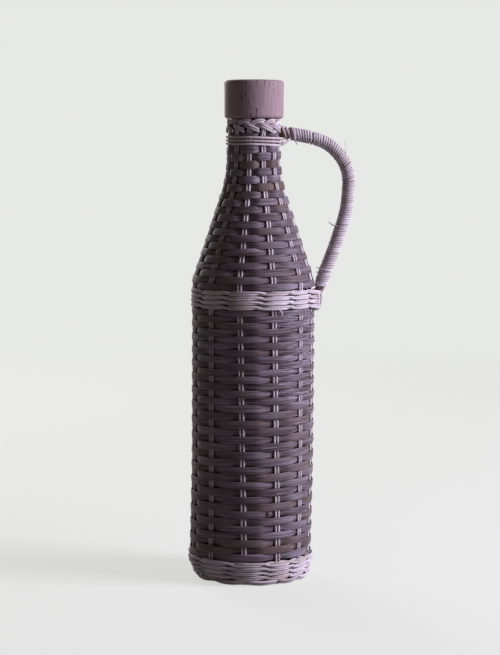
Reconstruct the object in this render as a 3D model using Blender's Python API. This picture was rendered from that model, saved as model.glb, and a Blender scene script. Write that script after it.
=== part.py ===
"""A glass bottle in a woven cane jacket, with a wrapped side handle and a beech stopper.

Metres, +Z up. The origin is the middle of the base board's underside and the handle points to +X.
Angles round the bottle are counted from its front, -Y, towards the handle.
"""

import math

import bmesh
import bpy
from mathutils import Vector

# Clearances
FIT = 0.0003  # between pieces that touch
WEAVE_FIT = 0.00025  # between strips and the rods that they cross
TURNS_GAP = 0.0004  # least gap of a winding to itself

# Base board
BOARD_THICKNESS = 0.003
BOARD_EDGE = 0.0006

# Glass bottle
GLASS_RADIUS = 0.0348
GLASS_NECK_RADIUS = 0.0122
GLASS_HEIGHT = 0.2875
GLASS_WALL = 0.0027
GLASS_FLOOR = 0.006
SHOULDER_RISE = 0.0648
NECK_LENGTH = 0.0368
SHOULDER_BEND = 0.020
NECK_BEND = 0.080
BORE_RADIUS = 0.00925
PUNT_DEPTH = 0.003
PUNT_RIM = 0.006
PUNT_SHARES = ((0.0, 1.0), (0.5, 0.75), (1.0, 0.0))  # outwards, up
FOOT_ROUND = 0.003
LIP_ROUND = 0.001

# Stopper
HEAD_RADIUS = 0.0188
HEAD_HEIGHT = 0.0239
HEAD_ROUND = 0.0019
SHANK_LENGTH = 0.020  # in the neck
SHANK_SEAT = 0.004  # set into the head
SHANK_CHAMFER = 0.001

# Stakes, in pairs, with their angles where the jacket is widest and at the neck
STAKE_RADIUS = 0.00065
STAKE_SPACE = 0.0003
BODY_ANGLES = (-43.5, -10.5, 22.8, 53.0, 80.0)
NECK_ANGLES = (-43.5, -10.9, 22.2, 53.3, 84.0)
PAIRS = 11
STAKE_SLANT_POINTS = 2

# Border, where each pair of stakes bends over to the right and goes down outside the next pair
BORDER_HEIGHT = 0.0081
BORDER_STEP = 0.0026  # outwards, from the stakes to where they come down
BORDER_SHARES = (  # across to the next pair, up, out
    (0.04, 0.45, 0.0),
    (0.22, 0.80, 0.0),
    (0.55, 1.00, 0.3),
    (0.90, 0.90, 0.9),
    (1.18, 0.62, 1.0),
    (1.50, 0.28, 1.0),
)

# Weavers
STRIP_WIDTH = 0.0039
STRIP_THICKNESS = 0.0006
LOW_PITCH = 0.00475
HIGH_PITCH = 0.0042
SHOULDER_PITCH = 0.00458
NECK_PITCH = 0.00486
SPLICE_GAP = 0.0012
LOWER_STRAND_COUNT = 4
UPPER_STRAND_COUNT = 2
LOWER_FIRST_PAIR = 0  # where the spiral below the middle band starts
UPPER_FIRST_PAIR = 5

# Waled bands
ROD_HEIGHT = 0.00275
ROD_DEPTH = 0.0019
ROD_SPACE = 0.0003
ROD_SHARES = ((0.0, 0.86), (0.62, 1.0), (1.0, 0.5), (0.62, 0.0), (0.0, 0.14))  # out, up
BASE_RODS = 4
MID_RODS = 4
BAND_BELOW_SHOULDER = 0.0042
FOOT_LIFT = 0.0005
FOOT_INSET = 0.0045
BASE_DRAW = 0.0016  # how far the stakes and the base band draw in at their foot

# Neck tie
TIE_RADIUS = 0.0007
TIE_PITCH = 0.00245
TIE_TURNS = 3
TIE_BELOW_LIP = 0.0181
TIE_START_ANGLE = 70.0
TAIL_REACH = 0.0055
TAIL_RISE = 0.0068
TAIL_BEND_SHARES = (0.5, 0.25)  # where its bend lies: outwards, up

# Handle
CORE_RADIUS = 0.0029
CORE_TIP_RADIUS = 0.0023
TIP_LENGTH = 0.008
HANDLE_REACH = 0.0602
HANDLE_BELOW_LIP = 0.0080
HANDLE_DROP = 0.0334  # from the neck end to where it is widest
FOOT_STAND_OFF = 0.0022
UPPER_SHARES = (  # out from the neck, down to the widest point
    (0.0, 0.0),
    (0.25, 0.05),
    (0.45, 0.10),
    (0.65, 0.19),
    (0.79, 0.32),
    (0.90, 0.49),
    (0.975, 0.69),
    (1.0, 0.88),
)
LOWER_SHARES = (  # out from the band, up to the widest point
    (0.95, 0.82),
    (0.85, 0.69),
    (0.70, 0.56),
    (0.55, 0.43),
    (0.39, 0.31),
    (0.23, 0.19),
    (0.06, 0.06),
    (0.0, 0.0),
)
WRAP_THICKNESS = 0.0008
WRAP_TURNS = 24
WRAP_GAP = 0.0009
WRAP_START = 0.0030
WRAP_END = 0.0022

# Lashing of the handle's foot to the middle band
LASH_RADIUS = 0.0006
LASH_BULGE = 0.0030
LASH_SHARES = (  # out, up the band, sideways
    (0.55, 1.10, 1.00),
    (0.95, 0.85, 0.85),
    (1.00, 0.50, 0.65),
    (0.62, 0.15, 0.50),
    (0.00, -0.08, 0.45),
)

# Facets, and how closely lines are followed
GLASS_SIDES = 36
HEAD_SIDES = 36
ROD_SIDES = 33
CORE_SIDES = 10
CORE_STEP = 0.0075
WRAP_POINTS = 12
TIE_POINTS = 16
ARC_STEPS = 3
TAIL_SPAN_STEPS = 3
LASH_SPAN_STEPS = 2
HANDLE_SPAN_STEPS = 6
HANDLE_STEP = 0.001
SIDE_STEP = 0.003
MERGE_DISTANCE = 0.00003
HALVINGS = 40
ROUNDS = 8
SMOOTH_ANGLE = 40.0

GLASS_FOOT = BOARD_THICKNESS + FIT
GLASS_TOP = GLASS_FOOT + GLASS_HEIGHT
SHOULDER_TOP = GLASS_TOP - NECK_LENGTH
SHOULDER_BOTTOM = SHOULDER_TOP - SHOULDER_RISE
STRIP_REACH = STAKE_RADIUS + WEAVE_FIT + STRIP_THICKNESS / 2
PAIR_HALF = STAKE_RADIUS + STAKE_SPACE / 2


def clear_scene():
    for old in list(bpy.data.objects):
        bpy.data.objects.remove(old)


def make_material(name, colour, roughness, alpha=1.0):
    material = bpy.data.materials.new(name)
    material.use_nodes = True
    shader = material.node_tree.nodes["Principled BSDF"]
    shader.inputs["Base Color"].default_value = (*colour, 1.0)
    shader.inputs["Roughness"].default_value = roughness
    shader.inputs["Alpha"].default_value = alpha
    return material


def add_object(name, data, material):
    made = bpy.data.objects.new(name, data)
    bpy.context.collection.objects.link(made)
    data.materials.append(material)
    return made


def finish_mesh(name, shape, material):
    """Turns a bmesh into an object with its faces pointing out, smooth but for its edges."""
    bmesh.ops.recalc_face_normals(shape, faces=shape.faces)
    mesh = bpy.data.meshes.new(name)
    shape.to_mesh(mesh)
    shape.free()
    mesh.shade_smooth()
    mesh.set_sharp_from_angle(angle=math.radians(SMOOTH_ANGLE))
    return add_object(name, mesh, material)


def turned(name, outline, sides, material):
    """Spins an outline of (radius, height) points, from axis to axis, about Z."""
    shape = bmesh.new()
    corners = [shape.verts.new((radius, 0.0, height)) for radius, height in outline]
    edges = [shape.edges.new(pair) for pair in zip(corners, corners[1:])]
    bmesh.ops.spin(
        shape,
        geom=corners + edges,
        cent=(0.0, 0.0, 0.0),
        axis=(0.0, 0.0, 1.0),
        angle=math.tau,
        steps=sides,
    )
    bmesh.ops.remove_doubles(shape, verts=shape.verts, dist=MERGE_DISTANCE)
    return finish_mesh(name, shape, material)


def lofted(name, sections, material, cyclic=False):
    """Joins sections of equal count into one skin, closed by its end faces or onto itself."""
    shape = bmesh.new()
    rings = [[shape.verts.new(point) for point in section] for section in sections]
    count = len(rings[0])
    following = rings[1:] + rings[:1] if cyclic else rings[1:]
    for ring, after in zip(rings, following):
        for i in range(count):
            j = (i + 1) % count
            shape.faces.new((ring[i], ring[j], after[j], after[i]))
    if not cyclic:
        shape.faces.new(rings[0])
        shape.faces.new(rings[-1])
    return finish_mesh(name, shape, material)


def rod(name, points, radius, material, roundness=0):
    """A round rod along points, with closed ends."""
    curve = bpy.data.curves.new(name, "CURVE")
    curve.dimensions = "3D"
    curve.bevel_depth = radius
    curve.bevel_resolution = roundness
    curve.use_fill_caps = True
    line = curve.splines.new("POLY")
    line.points.add(len(points) - 1)
    for i, place in enumerate(points):
        line.points[i].co = (*place, 1.0)
    line.use_smooth = True
    return add_object(name, curve, material)


def around(angle, radius, height):
    """The place at an angle in degrees from the front, towards the handle."""
    turn = math.radians(angle)
    return Vector((radius * math.sin(turn), -radius * math.cos(turn), height))


def blend(a, b, share):
    return a + (b - a) * share


def eased(share):
    share = min(max(share, 0.0), 1.0)
    return share * share * (3.0 - 2.0 * share)


def smooth_route(points, per_span):
    """Points along a Catmull-Rom curve through the given ones."""
    ends = [2 * points[0] - points[1]] + points + [2 * points[-1] - points[-2]]
    route = []
    for before, a, b, after in zip(ends, ends[1:], ends[2:], ends[3:]):
        for step in range(per_span):
            t = step / per_span
            route.append(
                (
                    2 * a
                    + (b - before) * t
                    + (2 * before - 5 * a + 4 * b - after) * t**2
                    + (3 * a - before - 3 * b + after) * t**3
                )
                / 2
            )
    return route + [points[-1]]


def even_steps(route, step):
    """The route again, as equal steps of about the given length."""
    lengths = [0.0]
    for a, b in zip(route, route[1:]):
        lengths.append(lengths[-1] + (b - a).length)
    count = max(2, round(lengths[-1] / step))
    return [along(route, lengths, lengths[-1] * i / count) for i in range(count + 1)]


def along(route, lengths, distance):
    i = 0
    while i < len(route) - 2 and lengths[i + 1] < distance:
        i += 1
    return blend(route[i], route[i + 1], (distance - lengths[i]) / (lengths[i + 1] - lengths[i]))


# The bottle's side, as a line of (radius, height) with two bends


def bend(before, corner, after, radius):
    """Points of a round bend at a corner between two straight runs."""
    back = (before - corner).normalized()
    ahead = (after - corner).normalized()
    half = back.angle(ahead) / 2
    middle = corner + (back + ahead).normalized() * (radius / math.sin(half))
    start = corner + back * (radius / math.tan(half)) - middle
    end = corner + ahead * (radius / math.tan(half)) - middle
    sweep = start.angle(end)
    points = []
    for i in range(ARC_STEPS + 1):
        t = i / ARC_STEPS
        mix = start * math.sin((1 - t) * sweep) + end * math.sin(t * sweep)
        points.append(middle + mix / math.sin(sweep))
    return points


def side_line(body_radius, neck_radius, bottom):
    """The side of the bottle or of its inside, from the bottom to the lip."""
    slant = math.atan2(GLASS_RADIUS - GLASS_NECK_RADIUS, SHOULDER_RISE)
    inset = GLASS_RADIUS - body_radius
    low = SHOULDER_BOTTOM - inset * math.tan(slant / 2)
    high = low + (body_radius - neck_radius) / math.tan(slant)
    ends = (
        Vector((body_radius, bottom)),
        Vector((body_radius, low)),
        Vector((neck_radius, high)),
        Vector((neck_radius, GLASS_TOP)),
    )
    shoulder = bend(ends[0], ends[1], ends[2], SHOULDER_BEND - inset)
    neck = bend(ends[1], ends[2], ends[3], NECK_BEND)
    return [ends[0]] + shoulder + neck + [ends[3]]


SIDE = side_line(GLASS_RADIUS, GLASS_NECK_RADIUS, GLASS_FOOT)
SIDE_LENGTHS = [0.0]
for low_point, high_point in zip(SIDE, SIDE[1:]):
    SIDE_LENGTHS.append(SIDE_LENGTHS[-1] + (high_point - low_point).length)
SIDE_LENGTH = SIDE_LENGTHS[-1]


def side_at(distance):
    """The side's point at a distance from the foot along it, and its direction upwards there."""
    below = along(SIDE, SIDE_LENGTHS, max(distance - SIDE_STEP, 0.0))
    above = along(SIDE, SIDE_LENGTHS, min(distance + SIDE_STEP, SIDE_LENGTH))
    return along(SIDE, SIDE_LENGTHS, distance), (above - below).normalized()


def side_distance(height):
    """The distance along the side at which it reaches a height."""
    low, high = 0.0, SIDE_LENGTH
    for _ in range(HALVINGS):
        middle = (low + high) / 2
        if along(SIDE, SIDE_LENGTHS, middle).y < height:
            low = middle
        else:
            high = middle
    return middle


# Where the pairs of stakes stand


def all_angles(front):
    """The angles of all pairs: those seen from the front, and the rest evenly round the back."""
    rest = PAIRS - len(front)
    step = (360.0 + front[0] - front[-1]) / (rest + 1)
    return [*front, *(front[-1] + step * (i + 1) for i in range(rest))]


LOW_ANGLES = all_angles(BODY_ANGLES)
TOP_ANGLES = all_angles(NECK_ANGLES)
SHOULDER_DISTANCE = side_distance(SHOULDER_BOTTOM)
NECK_DISTANCE = side_distance(SHOULDER_TOP)


def pair_angle(pair, distance):
    """The angle of a pair, which may be counted on past a full turn, at a distance up the side."""
    share = eased((distance - SHOULDER_DISTANCE) / (NECK_DISTANCE - SHOULDER_DISTANCE))
    turns, pair = divmod(pair, PAIRS)
    return blend(LOW_ANGLES[pair], TOP_ANGLES[pair], share) + 360.0 * turns


def spacings(distance):
    angles = [pair_angle(pair, distance) for pair in range(PAIRS + 1)]
    return [math.radians(b - a) for a, b in zip(angles, angles[1:])]


def crossing(radius, angle):
    """How far a strip lies inside and outside the stakes' middles where it crosses them, so that
    its slope clears both rods of a pair."""
    drop = rise = STRIP_REACH
    for _ in range(ROUNDS):
        inner, outer = radius - drop, radius + rise
        down = (outer - inner * math.cos(angle)) / (inner * math.sin(angle))
        up = max((outer * math.cos(angle) - inner) / (outer * math.sin(angle)), 0.0)
        rise = STRIP_REACH * math.hypot(1.0, down) + PAIR_HALF * down
        drop = STRIP_REACH * math.hypot(1.0, up) + PAIR_HALF * up
    return drop, rise


def widest_crossing(radius, distance):
    found = [crossing(radius, angle) for angle in spacings(distance)]
    return max(drop for drop, rise in found), max(rise for drop, rise in found)


def nearest_run(inner, outer, angle):
    """How near the axis a straight run comes, from one radius to another over an angle."""
    if outer * math.cos(angle) > inner:
        return inner
    across = math.hypot(outer - inner * math.cos(angle), inner * math.sin(angle))
    return inner * outer * math.sin(angle) / across


def stake_stand_off():
    """How far the stakes' middles stand off the glass, so that the strips behind them clear it."""
    stand_off = STRIP_REACH + STRIP_THICKNESS / 2
    for _ in range(ROUNDS):
        radius = GLASS_RADIUS + stand_off
        drop, rise = widest_crossing(radius, 0.0)
        runs = [nearest_run(radius - drop, radius + rise, angle) for angle in spacings(0.0)]
        stand_off += GLASS_RADIUS + FIT + STRIP_THICKNESS / 2 - min(runs)
    return stand_off


STAND_OFF = stake_stand_off()
STAKE_CIRCLE = GLASS_RADIUS + STAND_OFF
BAND_INNER = (STAKE_CIRCLE + STAKE_RADIUS + WEAVE_FIT) / math.cos(math.pi / ROD_SIDES)
BAND_OUTER = BAND_INNER + ROD_DEPTH
JACKET_OUTER = STAKE_CIRCLE + widest_crossing(STAKE_CIRCLE, 0.0)[1] + STRIP_THICKNESS / 2
ROD_PITCH = ROD_HEIGHT + ROD_SPACE
FOOT_TOP = FOOT_LIFT + ROD_HEIGHT
BASE_BAND_BOTTOM = FOOT_TOP + FIT
BASE_BAND_TOP = BASE_BAND_BOTTOM + BASE_RODS * ROD_PITCH
MID_BAND_TOP = SHOULDER_BOTTOM - BAND_BELOW_SHOULDER
MID_BAND_BOTTOM = MID_BAND_TOP - MID_RODS * ROD_PITCH
NECK_CIRCLE = GLASS_NECK_RADIUS + STAND_OFF
NECK_OUTER = NECK_CIRCLE + widest_crossing(NECK_CIRCLE, SIDE_LENGTH)[1] + STRIP_THICKNESS / 2
BORDER_OUTER = NECK_CIRCLE + BORDER_STEP + STAKE_RADIUS
HANDLE_TOP = GLASS_TOP - HANDLE_BELOW_LIP
HANDLE_WIDEST = HANDLE_TOP - HANDLE_DROP
BORDER_BOTTOM = GLASS_TOP - BORDER_HEIGHT - PAIR_HALF - STAKE_RADIUS


def base_draw(height):
    """How far the jacket is drawn in at a height: fully at the base band's foot, not at its top."""
    share = (BASE_BAND_TOP - height) / (BASE_BAND_TOP - BASE_BAND_BOTTOM)
    return BASE_DRAW * max(share, 0.0)


# Base, glass and stopper


def make_board(material):
    radius = (BAND_INNER - FOOT_INSET) * math.cos(math.pi / ROD_SIDES) - FIT
    outline = (
        (0.0, 0.0),
        (radius - BOARD_EDGE, 0.0),
        (radius, BOARD_EDGE),
        (radius, BOARD_THICKNESS - BOARD_EDGE),
        (radius - BOARD_EDGE, BOARD_THICKNESS),
        (0.0, BOARD_THICKNESS),
    )
    turned("base_board", outline, GLASS_SIDES, material)


def make_glass(material):
    punt_radius = GLASS_RADIUS - PUNT_RIM
    punt = [
        (punt_radius * out_share, GLASS_FOOT + PUNT_DEPTH * up_share)
        for out_share, up_share in PUNT_SHARES
    ]
    foot = [
        (GLASS_RADIUS - FOOT_ROUND * (1 - math.sin(turn)), GLASS_FOOT + FOOT_ROUND * (1 - math.cos(turn)))
        for turn in (0.0, math.pi / 4, math.pi / 2)
    ]
    outside = [tuple(point) for point in SIDE[1:-1]]
    lip = [
        (GLASS_NECK_RADIUS, GLASS_TOP - LIP_ROUND),
        (GLASS_NECK_RADIUS - LIP_ROUND, GLASS_TOP),
        (BORE_RADIUS + LIP_ROUND, GLASS_TOP),
        (BORE_RADIUS, GLASS_TOP - LIP_ROUND),
    ]
    floor = GLASS_FOOT + PUNT_DEPTH + GLASS_FLOOR
    inside = side_line(GLASS_RADIUS - GLASS_WALL, BORE_RADIUS, floor)
    down = [tuple(point) for point in reversed(inside[1:-1])]
    bottom = [
        (GLASS_RADIUS - GLASS_WALL, floor + FOOT_ROUND),
        (GLASS_RADIUS - GLASS_WALL - FOOT_ROUND, floor),
        (0.0, floor),
    ]
    turned("glass_bottle", punt + foot + outside + lip + down + bottom, GLASS_SIDES, material)


def round_corner(radius, height, size, start):
    """A convex corner of a turned outline, from a flat face to a side or back."""
    turns = [start + math.pi / 2 * i / ARC_STEPS for i in range(ARC_STEPS + 1)]
    return [(radius + size * math.cos(turn), height + size * math.sin(turn)) for turn in turns]


def make_stopper(beech, cork):
    shank_radius = (BORE_RADIUS - FIT) * math.cos(math.pi / GLASS_SIDES)
    seat_radius = (shank_radius + FIT) / math.cos(math.pi / HEAD_SIDES)
    bottom = GLASS_TOP + FIT
    top = bottom + HEAD_HEIGHT
    seat_top = bottom + SHANK_SEAT + FIT
    edge = HEAD_RADIUS - HEAD_ROUND
    outline = [(0.0, seat_top), (seat_radius, seat_top), (seat_radius, bottom)]
    outline += round_corner(edge, bottom + HEAD_ROUND, HEAD_ROUND, -math.pi / 2)
    outline += round_corner(edge, top - HEAD_ROUND, HEAD_ROUND, 0.0)
    outline += [(0.0, top)]
    turned("stopper_head", outline, HEAD_SIDES, beech)
    shank_top = bottom + SHANK_SEAT
    shank_bottom = GLASS_TOP - SHANK_LENGTH
    outline = (
        (0.0, shank_bottom),
        (shank_radius - SHANK_CHAMFER, shank_bottom),
        (shank_radius, shank_bottom + SHANK_CHAMFER),
        (shank_radius, shank_top),
        (0.0, shank_top),
    )
    turned("stopper_cork", outline, GLASS_SIDES, cork)


# Jacket


def stake_route(pair):
    """The middle line of a pair of stakes: (angle, radius, height) from the foot to the border."""
    bends = SIDE_LENGTHS[1:-1]
    slant_start, slant_end = bends[ARC_STEPS], bends[ARC_STEPS + 1]
    stops = [side_distance(BASE_BAND_BOTTOM), side_distance(BASE_BAND_TOP)]
    stops += bends[: ARC_STEPS + 1]
    for i in range(STAKE_SLANT_POINTS):
        stops.append(blend(slant_start, slant_end, (i + 1) / (STAKE_SLANT_POINTS + 1)))
    stops += bends[ARC_STEPS + 1 :] + [side_distance(BORDER_BOTTOM)]
    route = []
    for distance in stops:
        place, way = side_at(distance)
        radius = place.x + STAND_OFF * way.y - base_draw(place.y)
        route.append((pair_angle(pair, distance), radius, place.y - STAND_OFF * way.x))
    return route


def border_route(pair):
    """The pair's way up, over to the right and down outside the next pair."""
    here = pair_angle(pair, SIDE_LENGTH)
    spacing = pair_angle(pair + 1, SIDE_LENGTH) - here
    after = pair_angle(pair + 2, SIDE_LENGTH) - here - spacing
    route = []
    for across_share, up_share, out_share in BORDER_SHARES:
        angle = here + spacing * min(across_share, 1.0) + after * max(across_share - 1.0, 0.0)
        radius = NECK_CIRCLE + BORDER_STEP * out_share
        route.append((angle, radius, BORDER_BOTTOM + BORDER_HEIGHT * up_share))
    return route


def make_stakes(material):
    for pair in range(PAIRS):
        route = stake_route(pair) + border_route(pair)
        flat = [
            Vector((math.radians(angle) * radius, height)) for angle, radius, height in route
        ]
        for letter, side in (("a", -1.0), ("b", 1.0)):
            points = []
            for i, (angle, radius, height) in enumerate(route):
                way = (flat[min(i + 1, len(flat) - 1)] - flat[max(i - 1, 0)]).normalized()
                if height < BORDER_BOTTOM:
                    way = Vector((0.0, 1.0))
                level = around(angle, radius, height)
                right = around(angle + 90.0, 1.0, 0.0)
                up = Vector((0.0, 0.0, 1.0))
                points.append(level + (right * way.y - up * way.x) * side * PAIR_HALF)
            rod(f"stake_{pair + 1:02d}{letter}", points, STAKE_RADIUS, material)


def strip_section(station, pair, distance):
    """The strip's four corners at a station: behind its pair if it is even, before it if odd."""
    place, way = side_at(distance)
    out = Vector((way.y, -way.x))
    middle = place + out * STAND_OFF
    drop, rise = widest_crossing(middle.x, distance)
    middle = middle + out * (rise if station % 2 else -drop)
    angle = pair_angle(pair, distance)
    corner_shares = ((-0.5, -0.5), (0.5, -0.5), (0.5, 0.5), (-0.5, 0.5))
    corners = []
    for along_share, out_share in corner_shares:
        corner = middle + way * STRIP_WIDTH * along_share + out * STRIP_THICKNESS * out_share
        corners.append(around(angle, corner.x, corner.y))
    return corners


def make_weavers(prefix, material, start, end, low_pitch, high_pitch, strands, first_pair):
    """One spiral of flat strip from a distance up the side to another, spliced behind stakes."""
    room = end - start - STRIP_WIDTH
    turns = 2 * room / (low_pitch + high_pitch)
    stations = int(turns * PAIRS) // 2 * 2
    sections = []
    for station in range(stations + 1):
        turn = station / PAIRS
        climbed = low_pitch * turn + (high_pitch - low_pitch) * turn**2 / turns / 2
        middle = start + STRIP_WIDTH / 2 + climbed
        sections.append(strip_section(station, station + first_pair, middle))
    for strand in range(strands):
        first = round(stations * strand / strands / 2) * 2
        last = round(stations * (strand + 1) / strands / 2) * 2
        part = [list(section) for section in sections[first : last + 1]]
        for end_section, neighbour in ((part[0], part[1]), (part[-1], part[-2])):
            share = SPLICE_GAP / 2 / (neighbour[0] - end_section[0]).length
            for i in range(4):
                end_section[i] = blend(end_section[i], neighbour[i], share)
        lofted(f"{prefix}_{strand + 1}", part, material)


def make_ring(name, inner, bottom, material):
    """A ring of half-round rod, flat side in."""
    sections = []
    for i in range(ROD_SIDES):
        sections.append(
            [
                around(
                    360.0 * i / ROD_SIDES,
                    inner + ROD_DEPTH * out_share,
                    bottom + ROD_HEIGHT * up_share,
                )
                for out_share, up_share in ROD_SHARES
            ]
        )
    lofted(name, sections, material, cyclic=True)


def make_bands(material):
    make_ring("foot_border", BAND_INNER - FOOT_INSET, FOOT_LIFT, material)
    for i in range(BASE_RODS):
        bottom = BASE_BAND_BOTTOM + ROD_PITCH * i
        inner = BAND_INNER - base_draw(bottom + ROD_HEIGHT)
        make_ring(f"base_band_{i + 1}", inner, bottom, material)
    for i in range(MID_RODS):
        make_ring(f"middle_band_{i + 1}", BAND_INNER, MID_BAND_BOTTOM + ROD_PITCH * i, material)


def make_jacket(light, brown):
    make_stakes(light)
    make_bands(light)
    make_weavers(
        "body_weaver",
        brown,
        side_distance(BASE_BAND_TOP),
        side_distance(MID_BAND_BOTTOM) - ROD_SPACE,
        LOW_PITCH,
        HIGH_PITCH,
        LOWER_STRAND_COUNT,
        LOWER_FIRST_PAIR,
    )
    make_weavers(
        "shoulder_weaver",
        brown,
        side_distance(MID_BAND_TOP) + ROD_SPACE,
        side_distance(BORDER_BOTTOM),
        SHOULDER_PITCH,
        NECK_PITCH,
        UPPER_STRAND_COUNT,
        UPPER_FIRST_PAIR,
    )


def least_gap(name, loops, thickness):
    """Prints the least gap between points of one turn and those of the next."""
    nearest = min(
        (a - b).length for first, after in zip(loops, loops[1:]) for a in first for b in after
    )
    gap = nearest - thickness
    print(f"{name}: least gap to itself {gap * 1000:.2f} mm")
    if gap < TURNS_GAP:
        print(f"{name}: the turns are closer than {TURNS_GAP * 1000:.2f} mm")


def make_tie(material):
    """Three turns round the neck, with the end drawn up along the handle."""
    radius = (NECK_OUTER + FIT + TIE_RADIUS) / math.cos(math.pi / TIE_POINTS)
    top = GLASS_TOP - TIE_BELOW_LIP + TIE_TURNS * TIE_PITCH
    count = TIE_TURNS * TIE_POINTS
    points = []
    for i in range(count + 1):
        angle = TIE_START_ANGLE - 360.0 * i / TIE_POINTS
        points.append(around(angle, radius, top - TIE_PITCH * i / TIE_POINTS))
    loops = [points[i : i + TIE_POINTS] for i in range(0, count, TIE_POINTS)]
    least_gap("neck_tie", loops, 2 * TIE_RADIUS)
    beside = CORE_RADIUS + FIT + WRAP_THICKNESS + FIT + TIE_RADIUS
    last = points[-1]
    end = Vector((radius + TAIL_REACH, -beside, last.z + TAIL_RISE))
    # The end leaves the last turn as it comes to the handle's side
    out_share, up_share = TAIL_BEND_SHARES
    ahead = Vector(
        (blend(last.x, end.x, out_share), min(last.y, end.y), last.z + TAIL_RISE * up_share)
    )
    points.reverse()
    tail = smooth_route([end, ahead, points[0]], TAIL_SPAN_STEPS)
    rod("neck_tie", tail[:-1] + points, TIE_RADIUS, material, roundness=1)


# Handle


def handle_route():
    neck_end = BORDER_OUTER + FIT
    foot = BAND_OUTER + FOOT_STAND_OFF
    foot_height = MID_BAND_TOP + FIT
    points = []
    for out_share, down_share in UPPER_SHARES:
        x = blend(neck_end, HANDLE_REACH, out_share)
        points.append(Vector((x, 0.0, blend(HANDLE_TOP, HANDLE_WIDEST, down_share))))
    points.append(Vector((HANDLE_REACH, 0.0, HANDLE_WIDEST)))
    for out_share, up_share in LOWER_SHARES:
        x = blend(foot, HANDLE_REACH, out_share)
        points.append(Vector((x, 0.0, blend(foot_height, HANDLE_WIDEST, up_share))))
    return even_steps(smooth_route(points, HANDLE_SPAN_STEPS), HANDLE_STEP)


def make_core(route, material):
    lengths = [0.0]
    for a, b in zip(route, route[1:]):
        lengths.append(lengths[-1] + (b - a).length)
    points = even_steps(route, CORE_STEP)
    total = lengths[-1]
    sections = []
    for i, place in enumerate(points):
        before = points[max(i - 1, 0)]
        after = points[min(i + 1, len(points) - 1)]
        way = (after - before).normalized()
        if i == 0:
            way = Vector((1.0, 0.0, 0.0))
        if i == len(points) - 1:
            way = Vector((0.0, 0.0, -1.0))
        out = Vector((0.0, 1.0, 0.0)).cross(way)
        left = total * (1 - i / (len(points) - 1))
        radius = blend(CORE_TIP_RADIUS, CORE_RADIUS, min(left / TIP_LENGTH, 1.0))
        turns = [math.tau * (side + 0.5) / CORE_SIDES for side in range(CORE_SIDES)]
        sections.append(
            [
                place + (out * math.cos(turn) + Vector((0.0, math.sin(turn), 0.0))) * radius
                for turn in turns
            ]
        )
    lofted("handle_core", sections, material)


def make_wrap(route, material):
    """A flat strip wound round the core, each turn beside the last."""
    lengths = [0.0]
    for a, b in zip(route, route[1:]):
        lengths.append(lengths[-1] + (b - a).length)
    pitch = (lengths[-1] - WRAP_START - WRAP_END) / (WRAP_TURNS + 1)
    width = pitch - WRAP_GAP
    inner = (CORE_RADIUS + FIT) / math.cos(math.pi / WRAP_POINTS)

    def on_core(distance, turn, radius):
        place = along(route, lengths, distance)
        ahead = along(route, lengths, min(distance + CORE_RADIUS, lengths[-1]))
        behind = along(route, lengths, max(distance - CORE_RADIUS, 0.0))
        out = Vector((0.0, 1.0, 0.0)).cross((ahead - behind).normalized())
        return place + out * radius * math.cos(turn) + Vector((0.0, radius * math.sin(turn), 0.0))

    sections = []
    loops = [[] for _ in range(WRAP_TURNS)]
    corner_shares = ((-0.5, 0.0), (0.5, 0.0), (0.5, 1.0), (-0.5, 1.0))
    for i in range(WRAP_TURNS * WRAP_POINTS + 1):
        middle = WRAP_START + width / 2 + pitch * i / WRAP_POINTS
        turn = math.tau * i / WRAP_POINTS
        section = [
            on_core(middle + width * along_share, turn, inner + WRAP_THICKNESS * out_share)
            for along_share, out_share in corner_shares
        ]
        sections.append(section)
        loops[min(i // WRAP_POINTS, WRAP_TURNS - 1)] += section
    least_gap("handle_wrap", loops, 0.0)
    lofted("handle_wrap", sections, material)


def make_lashing(material):
    """Two strands from the handle's foot round the outside of the middle band."""
    near = JACKET_OUTER + FIT + LASH_RADIUS
    far = BAND_OUTER + FIT + LASH_RADIUS + LASH_BULGE
    beside = CORE_RADIUS + FIT + LASH_RADIUS
    for name, side in (("foot_lashing_front", -1.0), ("foot_lashing_back", 1.0)):
        points = []
        for out_share, up_share, side_share in LASH_SHARES:
            height = blend(MID_BAND_BOTTOM, MID_BAND_TOP, up_share)
            reach = blend(near, far, out_share)
            points.append(Vector((reach, side * beside * side_share, height)))
        rod(name, smooth_route(points, LASH_SPAN_STEPS), LASH_RADIUS, material, roundness=1)


def main():
    clear_scene()
    glass = make_material("glass", (0.03, 0.045, 0.03), 0.08, alpha=0.5)
    brown = make_material("brown_cane", (0.16, 0.105, 0.1), 0.6)
    light = make_material("light_cane", (0.62, 0.5, 0.47), 0.55)
    core = make_material("core_cane", (0.35, 0.19, 0.1), 0.6)
    beech = make_material("beech", (0.5, 0.3, 0.24), 0.5)
    cork = make_material("cork", (0.55, 0.38, 0.23), 0.85)
    board = make_material("plywood", (0.55, 0.4, 0.26), 0.7)
    make_board(board)
    make_glass(glass)
    make_stopper(beech, cork)
    make_jacket(light, brown)
    make_tie(light)
    route = handle_route()
    make_core(route, core)
    make_wrap(route, light)
    make_lashing(light)


main()
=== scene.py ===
"""Looks of a glass bottle in a woven cane jacket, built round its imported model.

Metres, +Z up, the handle to +X. Angles round the bottle are counted from its front, -Y, towards
the handle. Places along the weave are counted in pairs of stakes, on and on round the bottle.
"""

import math
import random

import bpy
from mathutils import Matrix, Vector, noise


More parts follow.
